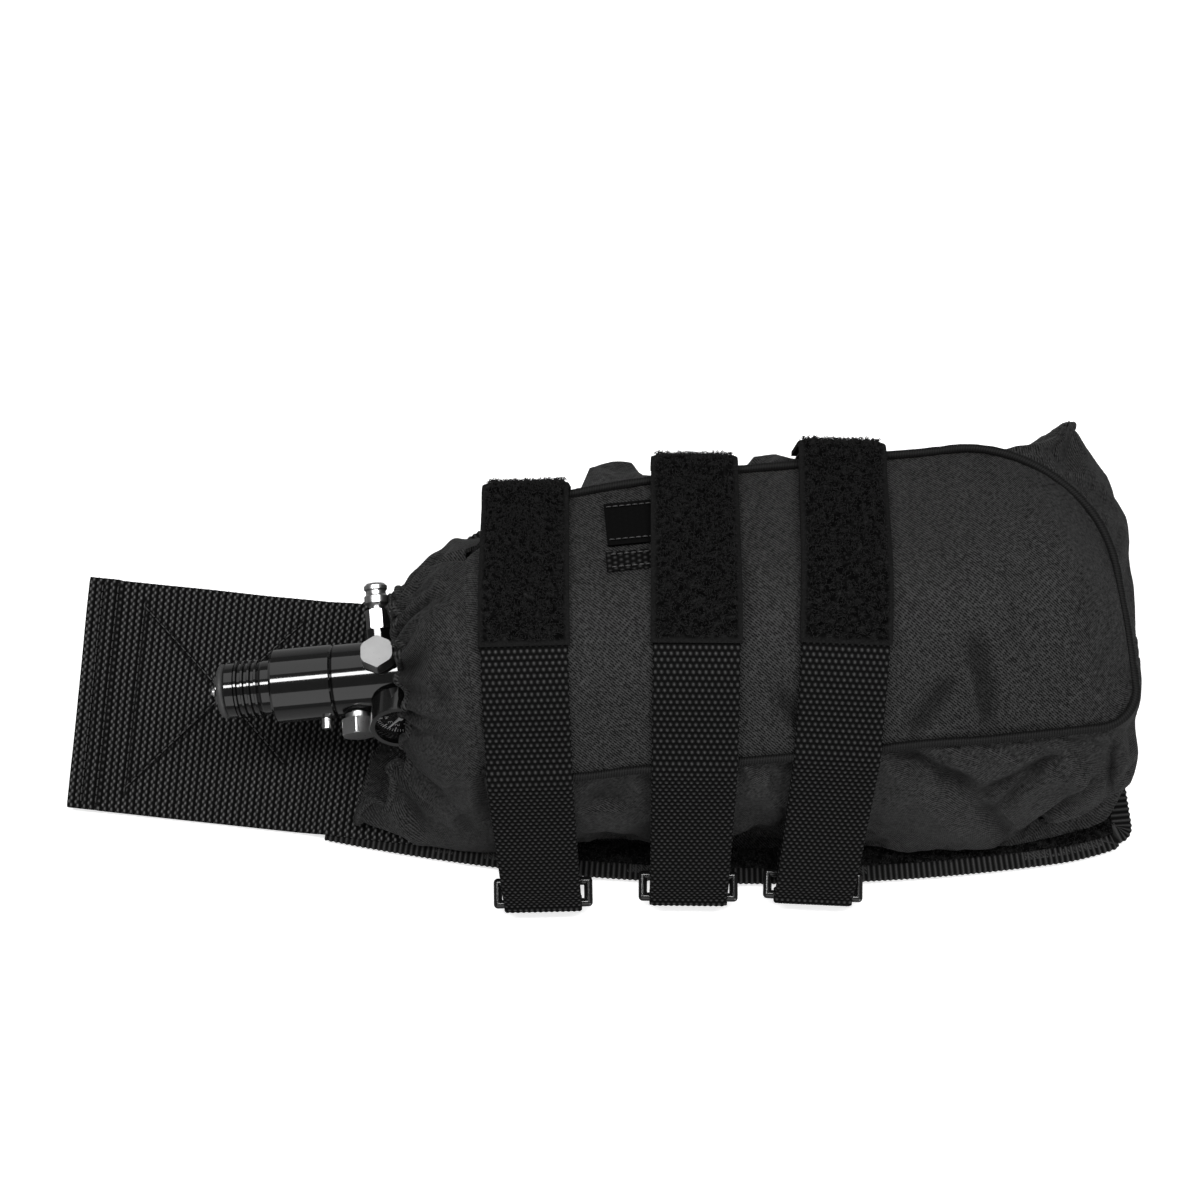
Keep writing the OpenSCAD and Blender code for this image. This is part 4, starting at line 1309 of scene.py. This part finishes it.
def build_strap(number):
    strap = Strap(number)
    pad_end = strap.run_at(PAD_END_Y[number])
    rows = (
        ("strap_base_web", base_web(strap), "webbing", "pouch", "strap_base"),
        ("strap_tail_web", tail_web(strap, pad_end), "webbing", f"tail_{number}", "strap_tail"),
        ("loop_pad_pile", loop_pad(strap, number, pad_end), "hook_and_loop", "pouch", "loop_pad"),
        ("ring_tab_web", ring_tab(strap), "webbing", "pouch", "ring_tab"),
    )
    for name, part, material, body, node in rows:
        add_piece(f"{name}_{number}", part, material, body, [f"{node}_{number}"])


# ---- Small parts ----

KEEPER_LAYERS = (
    # first x, lowest and highest y, lift, height of the weave, share of the weave's tone
    (-62.5, 30.5, 48, 1.8, 0.1, 0.25),
    (-63.5, 20.5, 28.5, 0.7, 0.4, 0.9),
)
KEEPER_SEAMS = ((22, 1.2), (27, 1.2), (32.5, 2.7), (46, 2.7))


def build_keeper_tab():
    """Webbing stop beside the middle strap, with a stitched strip below it."""
    end_x = -45
    step = 0.4
    parts = []
    for x0, y0, y1, lift, amount, tone in KEEPER_LAYERS:
        x, y = np.meshgrid(np.arange(x0, end_x, step), np.arange(y0, y1, step), indexing="ij")
        z = front_height(x, y) + lift
        relief_shade = strap_weave(x - x0, y - y0)
        points = np.stack([x, y, z + amount * relief_shade], -1)
        # The weave's height also gives painted highlight on the knots and painted shade between them, scaled
        # by the layer's tone.
        parts.append(sheet(points, relief_shade=relief_shade * tone, back=np.stack([x, y, z - 1.4], -1)))
    add_piece("keeper_tab_web", parts, "webbing", "pouch", ["keeper_tab"])
    rows = []
    for y, lift in KEEPER_SEAMS:
        xs = np.linspace(-62, -46, 12)
        ys = np.full_like(xs, y)
        rows.append(stitches(np.column_stack([xs, ys, front_height(xs, ys) + lift]), 2.4, 1.6, 0.22))
    add_piece("keeper_stitching", rows, "thread", "pouch")


FIRST_TICK = math.radians(225)
DIAL_SWEEP = math.radians(270)


def line_bar(start, end, radius):
    return tube([start, (start + end) / 2, end], radius, 4)


def build_dial_print():
    """Generic ticks and figures on the gauge's dial."""
    centre = np.array(joint_named("gauge_needle_turn")["pos_m"]) / MM
    out = unit(centre * (0, 1, 1) - (0, 0, AXIS_Z))
    dial = np.array([vertex.co for vertex in frame["nodes"]["gauge_dial"].data.vertices]) / MM
    middle = centre + out * (((dial - centre) @ out).max() + 0.12)
    right = unit(np.cross(out, (1.0, 0.0, 0.0)))
    up = np.array([-1.0, 0.0, 0.0])

    def ray(share):
        turn = FIRST_TICK - DIAL_SWEEP * share
        return right * math.cos(turn) + up * math.sin(turn)

    bars = []
    for i in range(41):
        inner, radius = (6.4, 0.2) if i % 5 == 0 else (7.4, 0.12)
        bars.append(line_bar(middle + ray(i / 40) * inner, middle + ray(i / 40) * 8.6, radius))
    for i in range(9):
        bars += figure(i, middle + ray(i / 8) * 4.9, right * 0.42, up * 0.35)
    add_piece("dial_print", bars, "dial_print", "tank")


# Both ends of the strokes a to g of a figure, two wide and four high, and the strokes of 0 to 8
STROKES = {"a": ((-1, 2), (1, 2)), "b": ((1, 2), (1, 0)), "c": ((1, 0), (1, -2)), "d": ((-1, -2), (1, -2)),
           "e": ((-1, 0), (-1, -2)), "f": ((-1, 2), (-1, 0)), "g": ((-1, 0), (1, 0))}
FIGURES = ["abcdef", "bc", "abged", "abgcd", "fgbc", "afgcd", "afgedc", "abc", "abcdefg"]


def figure(digit, spot, right, up):
    """Strokes of one figure."""
    return [line_bar(*(spot + right * x + up * y for x, y in STROKES[key]), 0.1) for key in FIGURES[digit]]


# ---- Stage ----

def set_camera():
    """Camera over the pouch's front, tipped towards its lower edge and rolled a little."""
    tip, roll = math.radians(13), math.radians(5.3)
    shift_right, shift_up, distance = -68.4 * MM, 14 * MM, 600 * MM
    data = bpy.data.cameras.new("camera")
    data.lens = 50
    data.sensor_width = 36
    camera = add_object("camera", data)
    turn = Matrix.Rotation(tip, 4, "X") @ Matrix.Rotation(-roll, 4, "Z")
    step_back = Matrix.Translation((shift_right, shift_up, distance))
    camera.matrix_world = Matrix.Translation((0, 0, AXIS_Z * MM)) @ turn @ step_back
    bpy.context.scene.camera = camera


def add_area_light(name, place, target, size, power):
    data = bpy.data.lights.new(name, "AREA")
    data.shape = "RECTANGLE"
    data.size, data.size_y = size
    data.energy = power
    light = add_object(name, data)
    light.location = place
    light.rotation_euler = (Vector(target) - Vector(place)).to_track_quat("-Z", "Y").to_euler()


def set_world():
    """White studio that lights cloth softly and leaves gloss mostly dark."""
    s = Shader("studio", "worlds", "Background")
    ray = s.node("ShaderNodeLightPath", {}).outputs
    unseen = s.node("ShaderNodeMix", {"Factor": ray["Is Glossy Ray"], "A": 0.24, "B": 0.10}).outputs[0]
    light = s.node("ShaderNodeMix", {"Factor": ray["Is Camera Ray"], "A": unseen, "B": 1.0}).outputs[0]
    s.set("Color", (1, 1, 1, 1))
    s.set("Strength", light)
    bpy.context.scene.world = s.owner
    bpy.context.scene.view_settings.view_transform = "Standard"


def set_stage():
    set_world()
    add_area_light("key", (-0.06, 0.10, 0.80), (-0.06, 0.0, 0.05), (1.0, 0.13), 5.6)
    add_area_light("upper_card", (-0.12, 0.55, 0.56), (-0.12, 0, 0.08), (0.8, 0.60), 0.9)
    add_area_light("lower_card", (-0.12, -0.62, 0.50), (-0.12, 0, 0.08), (0.9, 0.60), 1.1)
    add_area_light("low_side", (0.40, -0.70, 0.28), (0.05, -0.04, 0.04), (0.4, 0.25), 1.5)
    mesh = bpy.data.meshes.new("floor")
    half = 4.0
    corners = [(-half, -half, 0), (half, -half, 0), (half, half, 0), (-half, half, 0)]
    mesh.from_pydata(corners, [], [(0, 1, 2, 3)])
    mesh.materials.append(floor_material())
    floor = add_object("floor", mesh)
    floor.location.z = cad_box[0][2] - 0.0002


def floor_material():
    """Pale floor that looks darker in reflections, so gloss keeps its dark bands."""
    s = Shader("floor")
    glossy = s.node("ShaderNodeLightPath", {}).outputs["Is Glossy Ray"]
    s.set("Base Color", s.mix(glossy, grey(0.9), grey(0.08)))
    s.set("Emission Color", (1, 1, 1, 1))
    s.set("Emission Strength", s.math("SUBTRACT", 0.55, s.math("MULTIPLY", glossy, 0.42)))
    return s.owner


paint_cad_nodes()
build_springs()
build_front()
build_piping()
walls = build_side_walls()
build_cuff(walls)
build_back_panel()
build_binding()
build_hook_strip()
build_wing()
build_wing_stitches()
for number in STRAP_NUMBERS:
    build_strap(number)
build_keeper_tab()
build_dial_print()
set_camera()
set_stage()
